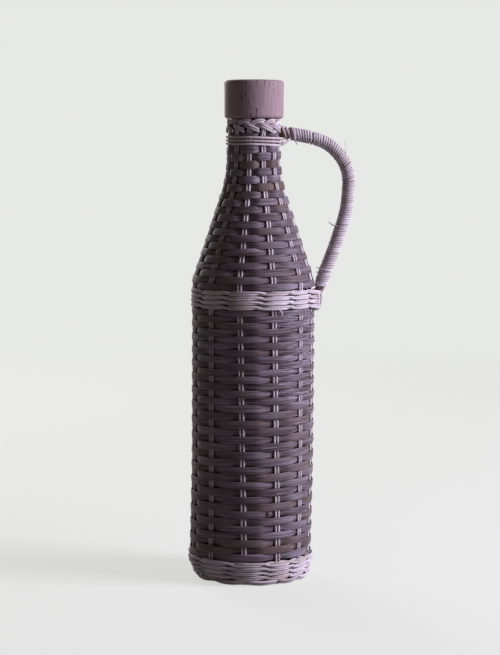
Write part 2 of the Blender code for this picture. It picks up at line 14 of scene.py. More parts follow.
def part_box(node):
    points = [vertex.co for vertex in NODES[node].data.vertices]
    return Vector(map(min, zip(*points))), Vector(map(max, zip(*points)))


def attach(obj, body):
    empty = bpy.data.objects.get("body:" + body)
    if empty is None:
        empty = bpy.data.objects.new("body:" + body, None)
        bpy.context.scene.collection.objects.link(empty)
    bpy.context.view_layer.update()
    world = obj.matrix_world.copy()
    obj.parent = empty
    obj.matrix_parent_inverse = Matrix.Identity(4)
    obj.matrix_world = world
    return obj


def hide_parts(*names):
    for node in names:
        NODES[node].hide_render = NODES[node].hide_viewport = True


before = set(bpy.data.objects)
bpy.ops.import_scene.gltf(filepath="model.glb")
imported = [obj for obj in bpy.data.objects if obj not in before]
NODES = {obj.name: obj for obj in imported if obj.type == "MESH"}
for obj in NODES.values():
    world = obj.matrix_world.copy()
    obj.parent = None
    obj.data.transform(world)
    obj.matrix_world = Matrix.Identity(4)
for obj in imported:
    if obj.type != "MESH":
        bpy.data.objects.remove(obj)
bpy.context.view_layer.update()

# Seeds of the random values, and how far a strand's tone moves its pattern
SEED = 7
SEED_STEP = 7.31
TONE_SHIFT = 61.0
MILLIMETRES = 1000

# Glass bottle
GLASS_LOW, GLASS_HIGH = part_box("glass_bottle")
GLASS_RADIUS = GLASS_HIGH.x
GLASS_FOOT = GLASS_LOW.z
GLASS_TOP = GLASS_HIGH.z
GLASS_NECK_RADIUS = 0.0122
SHOULDER_RISE = 0.0648
NECK_LENGTH = 0.0368
SHOULDER_BEND = 0.020
NECK_BEND = 0.080
BORE_RADIUS = 0.00925
GLASS_WALL = 0.0027
GLASS_FLOOR = 0.006
PUNT_DEPTH = 0.003
PUNT_RIM = 0.006
PUNT_STEPS = 8
FOOT_ROUND = 0.003
BOARD_INSET = 0.002
LIP_ROUND = 0.001
RING_RADIUS = 0.0136
RING_LOW = 0.0093
RING_HIGH = 0.0043
RING_ROUND = 0.0012
GLASS_SIDES = 96
SHOULDER_TOP = GLASS_TOP - NECK_LENGTH
SHOULDER_BOTTOM = SHOULDER_TOP - SHOULDER_RISE

# Stopper
HEAD_LOW, HEAD_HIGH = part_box("stopper_head")
HEAD_ROUND = 0.0019
HEAD_TAPER = 0.0002
HEAD_SIDES = 128
CORK_LOW, CORK_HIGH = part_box("stopper_cork")
CORK_CHAMFER = 0.001

# Pairs of stakes, which lean a little to the left from the foot to the shoulder
PAIRS = 11
STAKE_RADIUS = 0.00066
FOOT_ANGLES = (-42.5, -7.3, 26.3, 53.6, 80.0)
SHOULDER_ANGLES = (-44.5, -13.3, 19.6, 52.3, 80.0)
NECK_ANGLES = (-43.5, -10.9, 22.2, 53.3, 84.0)
BODY_STAND_OFF = 0.0025
NECK_STAND_OFF = 0.0035
TIE_PINCH = 0.0008
TIE_PINCH_WIDTH = 0.005
GLASS_FIT = 0.00015
SIDE_SHIFT = 0.0013
SIDE_SHIFT_HEIGHT = 0.085
FOOT_SHIFT_SHARE = 0.3
FOOT_STRAIGHT_HEIGHT = 0.012
BODY_PAIR_HALF = 0.00104
NECK_PAIR_HALF = 0.00086
STAKE_STEP = 0.0015
STAKE_TUCK = 0.004
STAKE_SIDES = 10
STAKE_TONE_STEP = 0.171

# Border under the stopper: its places across in pairs, up and out, as shares of rise and step
BORDER_RISE = 0.00825
BORDER_START = GLASS_TOP - 0.0096
BORDER_CIRCLE = 0.0154
BORDER_STEP = 0.0015
BORDER_PAIR_HALF = 0.00073
BORDER_SWELL = 1.08
WEAVE_TOP = BORDER_START + 0.0012
BORDER_SHARES = (
    (0.00, 0.15, 0.20),
    (0.02, 0.34, 0.07),
    (0.06, 0.52, 0.00),
    (0.14, 0.69, 0.07),
    (0.28, 0.84, 0.29),
    (0.44, 0.95, 0.50),
    (0.62, 1.00, 0.60),
    (0.80, 1.00, 0.57),
    (0.98, 0.98, 0.21),
    (1.16, 0.93, -0.50),
    (1.33, 0.86, -0.96),
    (1.51, 0.78, -0.79),
    (1.73, 0.68, 0.07),
    (1.93, 0.60, 0.79),
    (2.15, 0.50, 1.04),
    (2.44, 0.37, 1.04),
    (2.72, 0.25, 0.93),
)

# Weavers: the height where the pair at the front right has its first gap, and the climb a turn
STRIP_DEPTH = 0.00086
STRIP_FIT = 0.00008
STRIP_SIDES = 14
STRIP_SQUARE = 0.7
STRIP_TONE_STEP = 0.137
PAIR_FLAT_SHARE = 0.6
STEPS_PER_PAIR = 12
GAP_PAIR = 2
PITCH_TURNS = 4
LOWER_HEIGHT = 0.0186
LOWER_PITCHES = (0.00445, 0.0046, 0.00465, 0.0048, 0.0049, 0.00445, 0.00415, 0.0042, 0.0039)
UPPER_HEIGHT = 0.1915
UPPER_PITCHES = (0.0043, 0.0042, 0.00458, 0.0047, 0.00485)
LOWER_PLACES = (-8, 94, 188, 280, 382)
UPPER_PLACES = (-18, 104, 224)
BODY_DIVE_SHARE = 0.52
NECK_DIVE_SHARE = 0.60
OVER_WIDTH_SHARE = 1.06
UNDER_WIDTH_SHARE = 0.86
EDGE_GAP = 0.0003
LEAST_WIDTH = 0.0007
SPLICE_SHARE = 0.03

# Frayed fibres on the strips: where most of them are, and how likely each is
STRIP_WIDTH = 0.0042
FRAY_RADIUS = 0.00014
FRAY_SIDES = 5
FRAY_SIDE = 0.64
FRAY_SIDE_WIDTH = 0.33
FRAY_HEIGHT = 0.146
FRAY_HEIGHT_WIDTH = 0.030
FRAY_LEAST = 0.012
FRAY_MOST = 0.95
FRAY_ACROSS_SHARE = 0.4
FRAY_DRIFT_SHARE = 0.2
FRAY_LIFTS = (0.0001, 0.0006)
FRAY_LEAST_STEPS = 5

# Ends that stand out of the weave: angles, distances off the stakes' middles and heights
CUT_END = (
    (16.2, -0.0016, 0.0500),
    (16.2, -0.0010, 0.0486),
    (16.3, 0.0003, 0.0472),
    (16.3, 0.0012, 0.0459),
    (16.3, 0.0013, 0.0448),
)
CUT_END_WIDTH = 0.0027
CUT_END_ROUND = 6
CUT_END_BLUNT = 0.02
CUT_END_TONE = 0.6
STRAY_FIBRE = (
    (-40.0, 0.0018, 0.1992),
    (-46.0, 0.0029, 0.1999),
    (-52.0, 0.0033, 0.1997),
    (-61.0, 0.0036, 0.1990),
)
STRAY_RADIUS = 0.0004
STRAY_TONE = 0.9

# Bands of twined canes: each strand is two canes, which turn over each other where it crosses
CANE_RADIUS = 0.00080
LEAST_CANE_DEPTH = 0.0003
CANE_APART = 0.00060
CANE_SIDES = 10
BAND_ROWS = 4
BAND_SLACK = 0.0003
BAND_STEPS = 16
BAND_TONE_STEP = 0.219
CROSS_SHARE = 0.12
CROSS_FROM_SHARE = 0.10
CROSS_TO_SHARE = 0.90
CROSS_RISE = 0.00040
CROSS_FLAT_SHARE = 0.12
BASE_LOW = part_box("base_band_1")[0].z
BASE_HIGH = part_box("base_band_4")[1].z
MID_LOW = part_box("middle_band_1")[0].z
MID_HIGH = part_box("middle_band_4")[1].z
BASE_DRAW = 0.0026
BASE_DRAW_POWER = 1.3
BASE_SWELL = 0.0009
BASE_SWELL_HEIGHT = BASE_HIGH - 0.003
BASE_SWELL_WIDTH = 0.0045
STEP_FROM = 7
STEP_TO = 8
END_TUCK = 0.0014
FOOT_STATION = 4.25
FOOT_BULGE = 0.0036
FOOT_BULGE_STATIONS = 0.40
FOOT_BULGE_LOW_SHARE = 0.75
FOOT_SINK = 0.0016

# The cut end of a cane below the middle band: angles, radii and heights
STUB_NODE = "middle_band_2"
STUB_TONE = 0.4
STUB_PLACES = (
    (23.6, 0.0380, MID_LOW + 0.0020),
    (24.6, 0.0389, MID_LOW + 0.0004),
    (26.2, 0.0393, MID_LOW - 0.0012),
    (26.8, 0.0391, MID_LOW - 0.0030),
)

# Border under the base: its places across in pairs, up and out, as shares of height and step
FOOT_RADIUS = 0.0349
FOOT_SHARES = (
    (-0.25, 1.10, -0.9),
    (-0.05, 0.72, 0.1),
    (0.20, 0.36, 0.9),
    (0.55, 0.26, 1.0),
    (0.90, 0.42, 0.7),
    (1.12, 0.80, -0.1),
    (1.27, 1.15, -0.9),
)
FOOT_HEIGHT = 0.0038
FOOT_STEP = 0.0011
FOOT_APART = 0.0006
FOOT_ABOVE = 0.0007
FOOT_LEAST = CANE_RADIUS + 0.0001
FOOT_TONE_STEP = 0.231

# Neck tie, and its end: out, beside, up from the last turn
TIE_RADIUS = 0.00072
TIE_CIRCLE = 0.0172
TIE_PITCH = 0.0021
TIE_TOP = 0.2812
TIE_TURNS = 3
TIE_START_ANGLE = 98.0
TIE_END_ANGLE = 62.0
TIE_POINTS = 48
TIE_BULGES = ((450.0, 0.0018), (810.0, 0.0009))
TIE_BULGE_WIDTH = 24.0
TIE_TONE = 0.4
TAIL_POINTS = 9
TAIL_STEP = 4
TAIL_PLACES = ((0.0187, -0.0066, 0.0008), (0.0222, -0.0045, 0.0031))

# Drifts of the canes and strips: their size, waves to a metre, a pair or a point, and seed
STAKE_OUT_DRIFT = (0.00006, 90.0, 0)
STAKE_SIDE_DRIFT = (0.00022, 28.0, 20)
STAKE_SPREAD_DRIFT = (0.12, 45.0, 40)
STRIP_WIDTH_DRIFT = (0.035, 0.35, 0)
STRIP_CLIMB_DRIFT = (0.00014, 0.23, 3)
STRIP_TILT_DRIFT = (0.05, 0.4, 5)
CROSS_DRIFT = (0.17, 0.37, 0)
BAND_UP_DRIFT = (0.00005, 0.5, 0)
BAND_OUT_DRIFT = (0.00007, 0.7, 2)
TIE_UP_DRIFT = (0.0001, 0.08, 3)
TIE_OUT_DRIFT = (0.00012, 0.11, 9)

# Handle: its core, its middle line as shares out and along its height, and its wrap
CORE_RADIUS = 0.0032
CORE_TIP_RADIUS = 0.0011
TIP_LENGTH = 0.012
HANDLE_START = 0.0164
HANDLE_FOOT_HEIGHT = MID_HIGH - 0.0060
HANDLE_FOOT = 0.0386
HANDLE_REACH = 0.0600
HANDLE_TOP = GLASS_TOP - 0.0080
HANDLE_WIDEST = HANDLE_TOP - 0.0334
UPPER_SHARES = (
    (0.0, 0.0),
    (0.25, 0.05),
    (0.45, 0.10),
    (0.65, 0.19),
    (0.79, 0.32),
    (0.90, 0.49),
    (0.975, 0.69),
    (1.0, 0.88),
)
LOWER_SHARES = (
    (1.0, 1.0),
    (0.956, 0.828),
    (0.868, 0.704),
    (0.736, 0.580),
    (0.605, 0.456),
    (0.464, 0.342),
    (0.323, 0.227),
    (0.174, 0.103),
    (0.075, 0.050),
    (0.0, 0.0),
)
HANDLE_STEP = 0.0005
WAY_STEPS = 8
CORE_SIDES = 24
CORE_STEP = 3
CORE_TONE = 0.3
WRAP_WIDTH_SHARE = 0.955
WRAP_DEPTH = 0.0010
WRAP_PITCH = 0.00150
WRAP_FIRST_PITCH = 0.00172
WRAP_FIRST_LENGTH = 0.030
WRAP_TILTS = (0.20, 0.36)
WRAP_POINTS = 22
WRAP_SIDES = 10
WRAP_SQUARE = 0.8
WRAP_TONE = 0.7
WRAP_PROUD = (0.00001, 0.00012)
PITCH_SHARES = (0.95, 1.05)
LEAN_SHARES = (0.9, 1.1)
OPEN_PITCH = 0.0029
OPEN_TILTS = (0.45, 0.60)
WRAP_START = 0.0021
MORE_TILT = 0.28
MORE_TILT_TURNS = 6
WRAP_END = 0.0076
WRAP_GAPS = {9: 0.0010, 13: 0.0004, 27: 0.0006, 34: 0.0005, 52: 0.0004, 71: 0.0004}

# Loose ends on the handle: distances along it, degrees round it and distances off its strand
LOOSE_ENDS = (
    (
        (0.0060, 25.0, -0.0002), (0.0076, 50.0, 0.0004), (0.0092, 95.0, 0.0005),
        (0.0106, 150.0, 0.0006), (0.0122, 172.0, 0.0018),
    ),
    ((0.0440, 40.0, 0.0002), (0.0408, 10.0, 0.0012), (0.0375, 0.0, 0.0042)),
    ((0.0890, 130.0, 0.0002), (0.0893, 165.0, 0.0012), (0.0882, 182.0, 0.0045)),
    (
        (0.1161, 25.0, 0.0002), (0.1169, 60.0, 0.0004), (0.1175, 95.0, 0.0004),
        (0.1180, 140.0, 0.0006), (0.1182, 180.0, 0.0016),
    ),
    ((0.1203, 140.0, 0.0001), (0.1207, 165.0, 0.0004), (0.1209, 180.0, 0.0012)),
)
END_RADII = (0.00055, 0.00022, 0.00035, 0.0005, 0.0004)
END_TAPER_SHARE = 0.55

# Lashing of the handle's foot: places of its strands, out, beside and up the band as a share
LASH_RADIUS = 0.00062
LASH_TONE_STEP = 0.3
LASH_SIDE_TONE = 0.1
LASH_ROUTES = (
    (
        (0.0466, 0.0012, 1.25),
        (0.0454, 0.0024, 1.06),
        (0.0433, 0.0030, 0.72),
        (0.0434, 0.0030, 0.59),
        (0.0431, 0.0028, 0.28),
        (0.0419, 0.0024, -0.04),
        (0.0404, 0.0018, -0.17),
        (0.0386, 0.0012, -0.14),
    ),
    (
        (0.0384, 0.0072, 0.80),
        (0.0404, 0.0075, 0.83),
        (0.0413, 0.0076, 0.68),
        (0.0413, 0.0076, 0.46),
        (0.0409, 0.0075, 0.20),
        (0.0399, 0.0073, -0.08),
        (0.0380, 0.0070, -0.18),
    ),
)

# Colours: of each kind of cane the dark, middle, light and warm one, and how far it is marked
CANES = (
    (
        "brown_cane_strip", (0.072, 0.048, 0.053), (0.162, 0.119, 0.145), (0.300, 0.245, 0.305),
        (0.145, 0.097, 0.088), 0.45,
    ),
    (
        "light_cane_rod", (0.44, 0.34, 0.35), (0.68, 0.59, 0.66), (0.84, 0.78, 0.87),
        (0.60, 0.49, 0.46), 0.45,
    ),
    (
        "wound_cane_strand", (0.54, 0.44, 0.46), (0.70, 0.61, 0.67), (0.84, 0.78, 0.87),
        (0.62, 0.51, 0.49), 0.05,
    ),
    (
        "fresh_cane_strand", (0.62, 0.54, 0.56), (0.86, 0.79, 0.84), (0.94, 0.90, 0.95),
        (0.76, 0.65, 0.62), 0.45,
    ),
    (
        "bare_core_cane", (0.155, 0.075, 0.042), (0.31, 0.170, 0.100), (0.43, 0.275, 0.175),
        (0.27, 0.135, 0.070), 0.45,
    ),
)
FIBRE_COLOURS = ((0.17, 0.13, 0.16), (0.56, 0.50, 0.61))
BEECH_COLOURS = ((0.28, 0.178, 0.195), (0.362, 0.248, 0.278), (0.44, 0.330, 0.375))
DASH_COLOUR = (0.17, 0.085, 0.08)
FLECK_COLOUR = (0.075, 0.032, 0.03)
CORK_COLOURS = ((0.36, 0.21, 0.11), (0.52, 0.35, 0.2), (0.66, 0.48, 0.3))
PORE_COLOUR = (0.12, 0.06, 0.03)
PLYWOOD_COLOURS = ((0.40, 0.27, 0.16), (0.55, 0.40, 0.26), (0.65, 0.5, 0.35))
GLASS_COLOURS = ((0.006, 0.009, 0.006), (0.014, 0.02, 0.013))

# Camera and light
IMAGE_HEIGHT = 655
FOCAL_PIXELS = 1854
CAMERA_X = -0.0019
CAMERA_DISTANCE = 1.175
CAMERA_HEIGHT = 0.264
CAMERA_TILT = 0.0891
CAMERA_ROLL = 0.0044
SENSOR = 36.0
PALE = (0.80, 0.81, 0.79)
FILL = (0.047, 0.036, 0.025)
LIT_PLACE = (0.0, 0.0, 0.17)
KEY_PLACE = (1.35, -0.31, 0.74)
KEY_SIZE = 0.8
KEY_POWER = 27.0
KEY_COLOUR = (1.0, 0.975, 1.16)
BACK_PLACE = (-0.58, 1.22, 0.72)
BACK_SIZE = 1.0
BACK_POWER = 8.5
BACK_COLOUR = (1.0, 0.95, 1.0)
FLOOR_SIZE = 4.0
FLOOR_PLAIN_FROM = 0.2
FLOOR_PLAIN_TO = 1.5
FLOOR_LIFT = 0.75
FLOOR_BASE = (0.26, 0.26, 0.25)


def blend(a, b, share):
    return a + (b - a) * share


def eased(share):
    share = min(max(share, 0.0), 1.0)
    return share * share * (3.0 - 2.0 * share)


def around(angle, radius, height):
    """The place at an angle in degrees from the front, towards the handle."""
    turn = math.radians(angle)
    return Vector((radius * math.sin(turn), -radius * math.cos(turn), height))


def wander(place, drift, seed=0):
    """A smooth random value along a line, by one of the drifts."""
    size, waves, own_seed = drift
    return size * noise.noise(Vector((place * waves, (seed + own_seed) * SEED_STEP, SEED)))


# The bottle's side


def bend(before, corner, after, radius, steps=16):
    """Points of a round bend at a corner between two straight runs."""
    back = (before - corner).normalized()
    ahead = (after - corner).normalized()
    half = back.angle(ahead) / 2
    middle = corner + (back + ahead).normalized() * (radius / math.sin(half))
    start = corner + back * (radius / math.tan(half)) - middle
    end = corner + ahead * (radius / math.tan(half)) - middle
    sweep = start.angle(end)
    points = []
    for i in range(steps + 1):
        t = i / steps
        mix = start * math.sin((1 - t) * sweep) + end * math.sin(t * sweep)
        points.append(middle + mix / math.sin(sweep))
    return points


def side_line(body_radius, neck_radius, bottom):
    """The side of the bottle or of its inside, from the bottom to the lip."""
    slant = math.atan2(GLASS_RADIUS - GLASS_NECK_RADIUS, SHOULDER_RISE)
    inset = GLASS_RADIUS - body_radius
    low = SHOULDER_BOTTOM - inset * math.tan(slant / 2)
    high = low + (body_radius - neck_radius) / math.tan(slant)
    ends = (
        Vector((body_radius, bottom)),
        Vector((body_radius, low)),
        Vector((neck_radius, high)),
        Vector((neck_radius, GLASS_TOP)),
    )
    shoulder = bend(ends[0], ends[1], ends[2], SHOULDER_BEND - inset)
    neck = bend(ends[1], ends[2], ends[3], NECK_BEND)
    return [ends[0]] + shoulder + neck + [ends[3]]


SIDE = side_line(GLASS_RADIUS, GLASS_NECK_RADIUS, GLASS_FOOT)
SIDE_STEP = 0.001


def side_radius(height):
    if height <= SIDE[0].y:
        return SIDE[0].x
    for low, high in zip(SIDE, SIDE[1:]):
        if height <= high.y:
            return blend(low.x, high.x, (height - low.y) / (high.y - low.y))
    return SIDE[-1].x


SIDE_RADII = [side_radius(SIDE_STEP * i) for i in range(int(GLASS_TOP / SIDE_STEP) + 8)]


def side(height):
    """The glass's radius at a height, and how far its side leans in there, in radians."""
    at = max(height / SIDE_STEP, 1.0)
    i = min(int(at), len(SIDE_RADII) - 3)
    radius = blend(SIDE_RADII[i], SIDE_RADII[i + 1], min(at - i, 1.0))
    below = SIDE_RADII[max(i - 2, 0)]
    above = SIDE_RADII[min(i + 3, len(SIDE_RADII) - 1)]
    return radius, math.atan2(below - above, 5 * SIDE_STEP)


# Where the pairs of stakes stand


def all_angles(front):
    """The angles of all pairs: those seen from the front, and the rest evenly round the back."""
    rest = PAIRS - len(front)
    step = (360.0 + front[0] - front[-1]) / (rest + 1)
    return [*front, *(front[-1] + step * (i + 1) for i in range(rest))]


LOW_ANGLES = all_angles(FOOT_ANGLES)
HIGH_ANGLES = all_angles(SHOULDER_ANGLES)
TOP_ANGLES = all_angles(NECK_ANGLES)


def shoulder_share(height):
    return eased((height - SHOULDER_BOTTOM) / (SHOULDER_TOP - SHOULDER_BOTTOM))


def pair_angle(pair, height):
    """The angle of a pair, or of a share of the way to the next, counted on past full turns."""
    body_share = min(height / SHOULDER_BOTTOM, 1.0)
    share = shoulder_share(height)
    whole = math.floor(pair)
    angles = []
    for count in (whole, whole + 1):
        turns, index = divmod(count, PAIRS)
        body = blend(LOW_ANGLES[index], HIGH_ANGLES[index], body_share)
        angles.append(blend(body, TOP_ANGLES[index], share) + 360.0 * turns)
    return blend(angles[0], angles[1], pair - whole)


def stand_off(height):
    """How far the stakes' middles stand off the glass; the tie pulls them in."""
    off = blend(BODY_STAND_OFF, NECK_STAND_OFF, shoulder_share(height))
    beside = (height - TIE_TOP + TIE_PITCH * (TIE_TURNS - 1) / 2) / TIE_PINCH_WIDTH
    return off - TIE_PINCH * math.exp(-beside * beside)


def base_draw(height):
    """How far the jacket draws in towards its foot."""
    share = max((BASE_HIGH - height) / (BASE_HIGH - BASE_LOW), 0.0)
    return BASE_DRAW * share**BASE_DRAW_POWER


def side_shift(height):
    """How far the low part of the jacket stands to the left."""
    share = 1 - eased(height / SIDE_SHIFT_HEIGHT)
    return SIDE_SHIFT * share * blend(FOOT_SHIFT_SHARE, 1.0, eased(height / FOOT_STRAIGHT_HEIGHT))


def free_radius(angle, height, offset):
    """The radius at an offset square to the stakes' middles."""
    radius, lean = side(height)
    reach = radius + (stand_off(height) + offset) / math.cos(lean) - base_draw(height)
    return reach - side_shift(height) * math.sin(math.radians(angle))


def least_radius(height):
    """The radius that clears the glass, with its rounded foot."""
    radius, lean = side(height)
    drop = min(max(GLASS_FOOT + FOOT_ROUND - height, 0.0), FOOT_ROUND)
    inset = min(FOOT_ROUND - math.sqrt(FOOT_ROUND**2 - drop**2), BOARD_INSET)
    return radius - inset + GLASS_FIT / math.cos(lean)


def jacket_radius(angle, height, offset, half=0.0):
    """The free radius, kept clear of the glass."""
    lean = side(height)[1]
    return max(free_radius(angle, height, offset), least_radius(height) + half / math.cos(lean))


def jacket_out(angle, height):
    lean = side(height)[1]
    return around(angle, math.cos(lean), math.sin(lean))


# Making meshes

SHARP_ANGLE = math.radians(50)


def superellipse(count, square):
    """Points of a unit section, round at square 1 and boxier below it."""
    points = []
    for i in range(count):
        turn = math.tau * (i + 0.5) / count
        x, y = math.cos(turn), math.sin(turn)
        points.append((math.copysign(abs(x) ** square, x), math.copysign(abs(y) ** square, y)))
    return points


def run(points, outs, half_width, half_depth, tone=0.5):
    """One strand: its places, the way out at each, and its half sizes, one number or one each."""
    count = len(points)
    widths = half_width if isinstance(half_width, list) else [half_width] * count
    depths = half_depth if isinstance(half_depth, list) else [half_depth] * count
    return points, outs, widths, depths, tone


def add_strands(name, material, runs, sides, replaced=(), square=1.0):
    """A piece of one or more closed strands, with each point's place along and across its fibre."""
    section = superellipse(sides, square)
    vertices, faces, fibres, tones = [], [], [], []
    for points, outs, widths, depths, tone in runs:
        start = len(vertices)
        distance = 0.0
        last = len(points) - 1
        for i, place in enumerate(points):
            if i:
                distance += (place - points[i - 1]).length
            way = (points[min(i + 1, last)] - points[max(i - 1, 0)]).normalized()
            out = (outs[i] - way * outs[i].dot(way)).normalized()
            across = way.cross(out)
            for x, y in section:
                a, b = x * widths[i], y * depths[i]
                vertices.append(place + across * a + out * b)
                fibres += (distance, a, b)
                tones.append(tone)
        for ring in range(last):
            for i in range(sides):
                j = (i + 1) % sides
                a = start + ring * sides
                faces.append((a + i, a + sides + i, a + sides + j, a + j))
        faces.append(tuple(start + i for i in range(sides)))
        faces.append(tuple(start + last * sides + i for i in reversed(range(sides))))
    add_mesh(name, "bottle", material, vertices, faces, replaced, fibres, tones)


def add_mesh(name, body, material, vertices, faces, replaced=(), fibres=None, tones=None):
    mesh = bpy.data.meshes.new(name)
    mesh.from_pydata(vertices, [], faces)
    if fibres:
        mesh.attributes.new("fibre", "FLOAT_VECTOR", "POINT").data.foreach_set("vector", fibres)
        mesh.attributes.new("tone", "FLOAT", "POINT").data.foreach_set("value", tones)
    mesh.shade_smooth()
    mesh.set_sharp_from_angle(angle=SHARP_ANGLE)
    mesh.materials.append(material)
    made = bpy.data.objects.new(name, mesh)
    bpy.context.scene.collection.objects.link(made)
    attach(made, body)
    if replaced:
        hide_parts(*replaced)


def add_turned(name, body, material, outline, sides, replaced):
    """Turns an outline of (radius, height) points about Z; points on the axis are poles."""
    vertices, faces, rings = [], [], []
    for radius, height in outline:
        if radius == 0.0:
            rings.append([len(vertices)])
            vertices.append(Vector((0.0, 0.0, height)))
            continue
        rings.append(list(range(len(vertices), len(vertices) + sides)))
        vertices += [around(360.0 * i / sides, radius, height) for i in range(sides)]
    for low, high in zip(rings, rings[1:]):
        for i in range(sides):
            j = (i + 1) % sides
            if len(low) == 1:
                faces.append((low[0], high[j], high[i]))
            elif len(high) == 1:
                faces.append((low[i], low[j], high[0]))
            else:
                faces.append((low[i], low[j], high[j], high[i]))
    add_mesh(name, body, material, vertices, faces, replaced)


def smooth_route(points, per_span):
    """Points along a Catmull-Rom curve through the given ones."""
    ends = [2 * points[0] - points[1]] + points + [2 * points[-1] - points[-2]]
    route = []
    for before, a, b, after in zip(ends, ends[1:], ends[2:], ends[3:]):
        square = 2 * before - 5 * a + 4 * b - after
        cube = 3 * a - before - 3 * b + after
        for step in range(per_span):
            t = step / per_span
            route.append((2 * a + (b - before) * t + square * t**2 + cube * t**3) / 2)
    return route + [points[-1]]


def level_outs(points):
    """The level way from the bottle's axis at each point."""
    return [Vector((p.x, p.y, 0.0)).normalized() for p in points]


def rod(points, radius, tone):
    """A round strand."""
    return run(points, level_outs(points), radius, radius, tone)


# Materials


class Nodes:
    """The node tree of a material or of the world, with short ways to add to it."""

    def __init__(self, owner):
        owner.use_nodes = True
        self.owner = owner
        self.tree = owner.node_tree

    def put(self, socket, value):
        if isinstance(value, bpy.types.NodeSocket):
            self.tree.links.new(value, socket)
        else:
            socket.default_value = value

    def add(self, kind, inputs=(), **settings):
        node = self.tree.nodes.new(kind)
        for key, value in settings.items():
            setattr(node, key, value)
        for key, value in dict(inputs).items():
            self.put(node.inputs[key], value)
        return node

    def set(self, name, value):
        self.put(self.tree.nodes["Principled BSDF"].inputs[name], value)

    def math(self, operation, a, b=0.0):
        return self.add("ShaderNodeMath", {0: a, 1: b}, operation=operation).outputs[0]

    def times(self, a, b):
        return self.math("MULTIPLY", a, b)

    def plus(self, a, b):
        return self.math("ADD", a, b)

    def place(self):
        return self.add("ShaderNodeTexCoord").outputs["Object"]

    def scaled(self, vector, scale):
        node = self.add("ShaderNodeVectorMath", {0: vector, 1: scale}, operation="MULTIPLY")
        return node.outputs[0]

    def plain_noise(self, vector, detail, roughness):
        inputs = {"Vector": vector, "Scale": 1.0, "Detail": detail, "Roughness": roughness}
        return self.add("ShaderNodeTexNoise", inputs).outputs["Fac"]

    def noise(self, place, scale, detail=2.0, roughness=0.5):
        return self.plain_noise(self.scaled(place, scale), detail, roughness)

    def fibre_noise(self, along, across, detail=2.0, roughness=0.5):
        """Noise along the strand's fibre, different for each strand."""
        place = self.add("ShaderNodeAttribute", attribute_name="fibre").outputs["Vector"]
        tone = self.add("ShaderNodeAttribute", attribute_name="tone").outputs["Fac"]
        shift = self.add("ShaderNodeCombineXYZ", {0: self.times(tone, TONE_SHIFT), 1: tone, 2: tone})
        inputs = {0: self.scaled(place, (along, across, across)), 1: shift.outputs[0]}
        vector = self.add("ShaderNodeVectorMath", inputs, operation="ADD").outputs[0]
        return self.plain_noise(vector, detail, roughness)

    def ramp(self, value, places, colours):
        node = self.add("ShaderNodeValToRGB", {"Fac": value})
        elements = node.color_ramp.elements
        while len(elements) < len(places):
            elements.new(0.5)
        for element, place, colour in zip(elements, places, colours):
            element.position = place
            element.color = (*colour, 1.0)
        return node.outputs["Color"]

    def span(self, value, low, high):
        """The value from low to high, as 0 to 1."""
        inputs = {"Value": value, "From Min": low, "From Max": high}
        return self.add("ShaderNodeMapRange", inputs).outputs["Result"]

    def tint(self, share, colour, other):
        """The colour, turned into the other where the share is 1."""
        inputs = {0: share, 6: colour, 7: (*other, 1.0)}
        return self.add("ShaderNodeMix", inputs, data_type="RGBA").outputs[2]

    def flecks(self, place, scale, edge, core):
        """Scattered flecks, 1 in the middle of each."""
        inputs = {"Vector": self.scaled(place, scale), "Scale": 1.0, "Randomness": 1.0}
        distance = self.add("ShaderNodeTexVoronoi", inputs).outputs["Distance"]
        return self.span(distance, edge, core)

    def coat(self, colour, roughness, more, pattern):
        """The colour, and a roughness that grows by more where the pattern is 1."""
        self.set("Base Color", colour)
        self.set("Roughness", self.plus(roughness, self.times(pattern, more)))

    def bump(self, height, distance, strength):
        inputs = {"Height": height, "Distance": distance, "Strength": strength}
        self.set("Normal", self.add("ShaderNodeBump", inputs).outputs["Normal"])

    def seen_rays(self):
        """1 on rays from the camera and on those seen in gloss or through glass."""
        rays = self.add("ShaderNodeLightPath").outputs
        seen = self.math("MAXIMUM", rays["Is Camera Ray"], rays["Is Glossy Ray"])
        return self.math("MAXIMUM", seen, rays["Is Transmission Ray"])

    def mix_shaders(self, share, a, b):
        return self.add("ShaderNodeMixShader", {0: share, 1: a, 2: b}).outputs[0]


def material_nodes(name):
    return Nodes(bpy.data.materials.new(name))


def make_cane(name, dark, middle, light, warm, marked):
    """Cane: fibre streaks along each strand, slow changes of tone and a few fine marks."""
    nodes = material_nodes(name)
    streaks = nodes.fibre_noise(45.0, 1500.0, 4.0, 0.6)
    medium = nodes.fibre_noise(38.0, 560.0, 3.0, 0.6)
    patches = nodes.fibre_noise(24.0, 60.0)
    slow = nodes.fibre_noise(13.0, 60.0, 3.0, 0.55)
    marks = nodes.fibre_noise(900.0, 160.0)
    tone = nodes.plus(nodes.times(streaks, 0.4), nodes.times(medium, 0.3))
    tone = nodes.plus(tone, nodes.times(patches, 0.3))
    colour = nodes.ramp(tone, (0.41, 0.5, 0.59), (dark, middle, light))
    colour = nodes.tint(nodes.span(slow, 0.50, 0.72), colour, warm)
    colour = nodes.tint(nodes.times(nodes.span(marks, 0.70, 0.80), marked), colour, dark)
    nodes.coat(colour, 0.45, 0.2, streaks)
    nodes.set("Specular IOR Level", 0.14)
    nodes.bump(tone, 0.00022, 0.7)
    return nodes.owner


def make_fibre():
    """Frayed fibres of the brown strips, paler than their faces."""
    nodes = material_nodes("frayed_fibre")
    streaks = nodes.fibre_noise(90.0, 900.0)
    nodes.coat(nodes.ramp(streaks, (0.35, 0.65), FIBRE_COLOURS), 0.5, 0.2, streaks)
    return nodes.owner


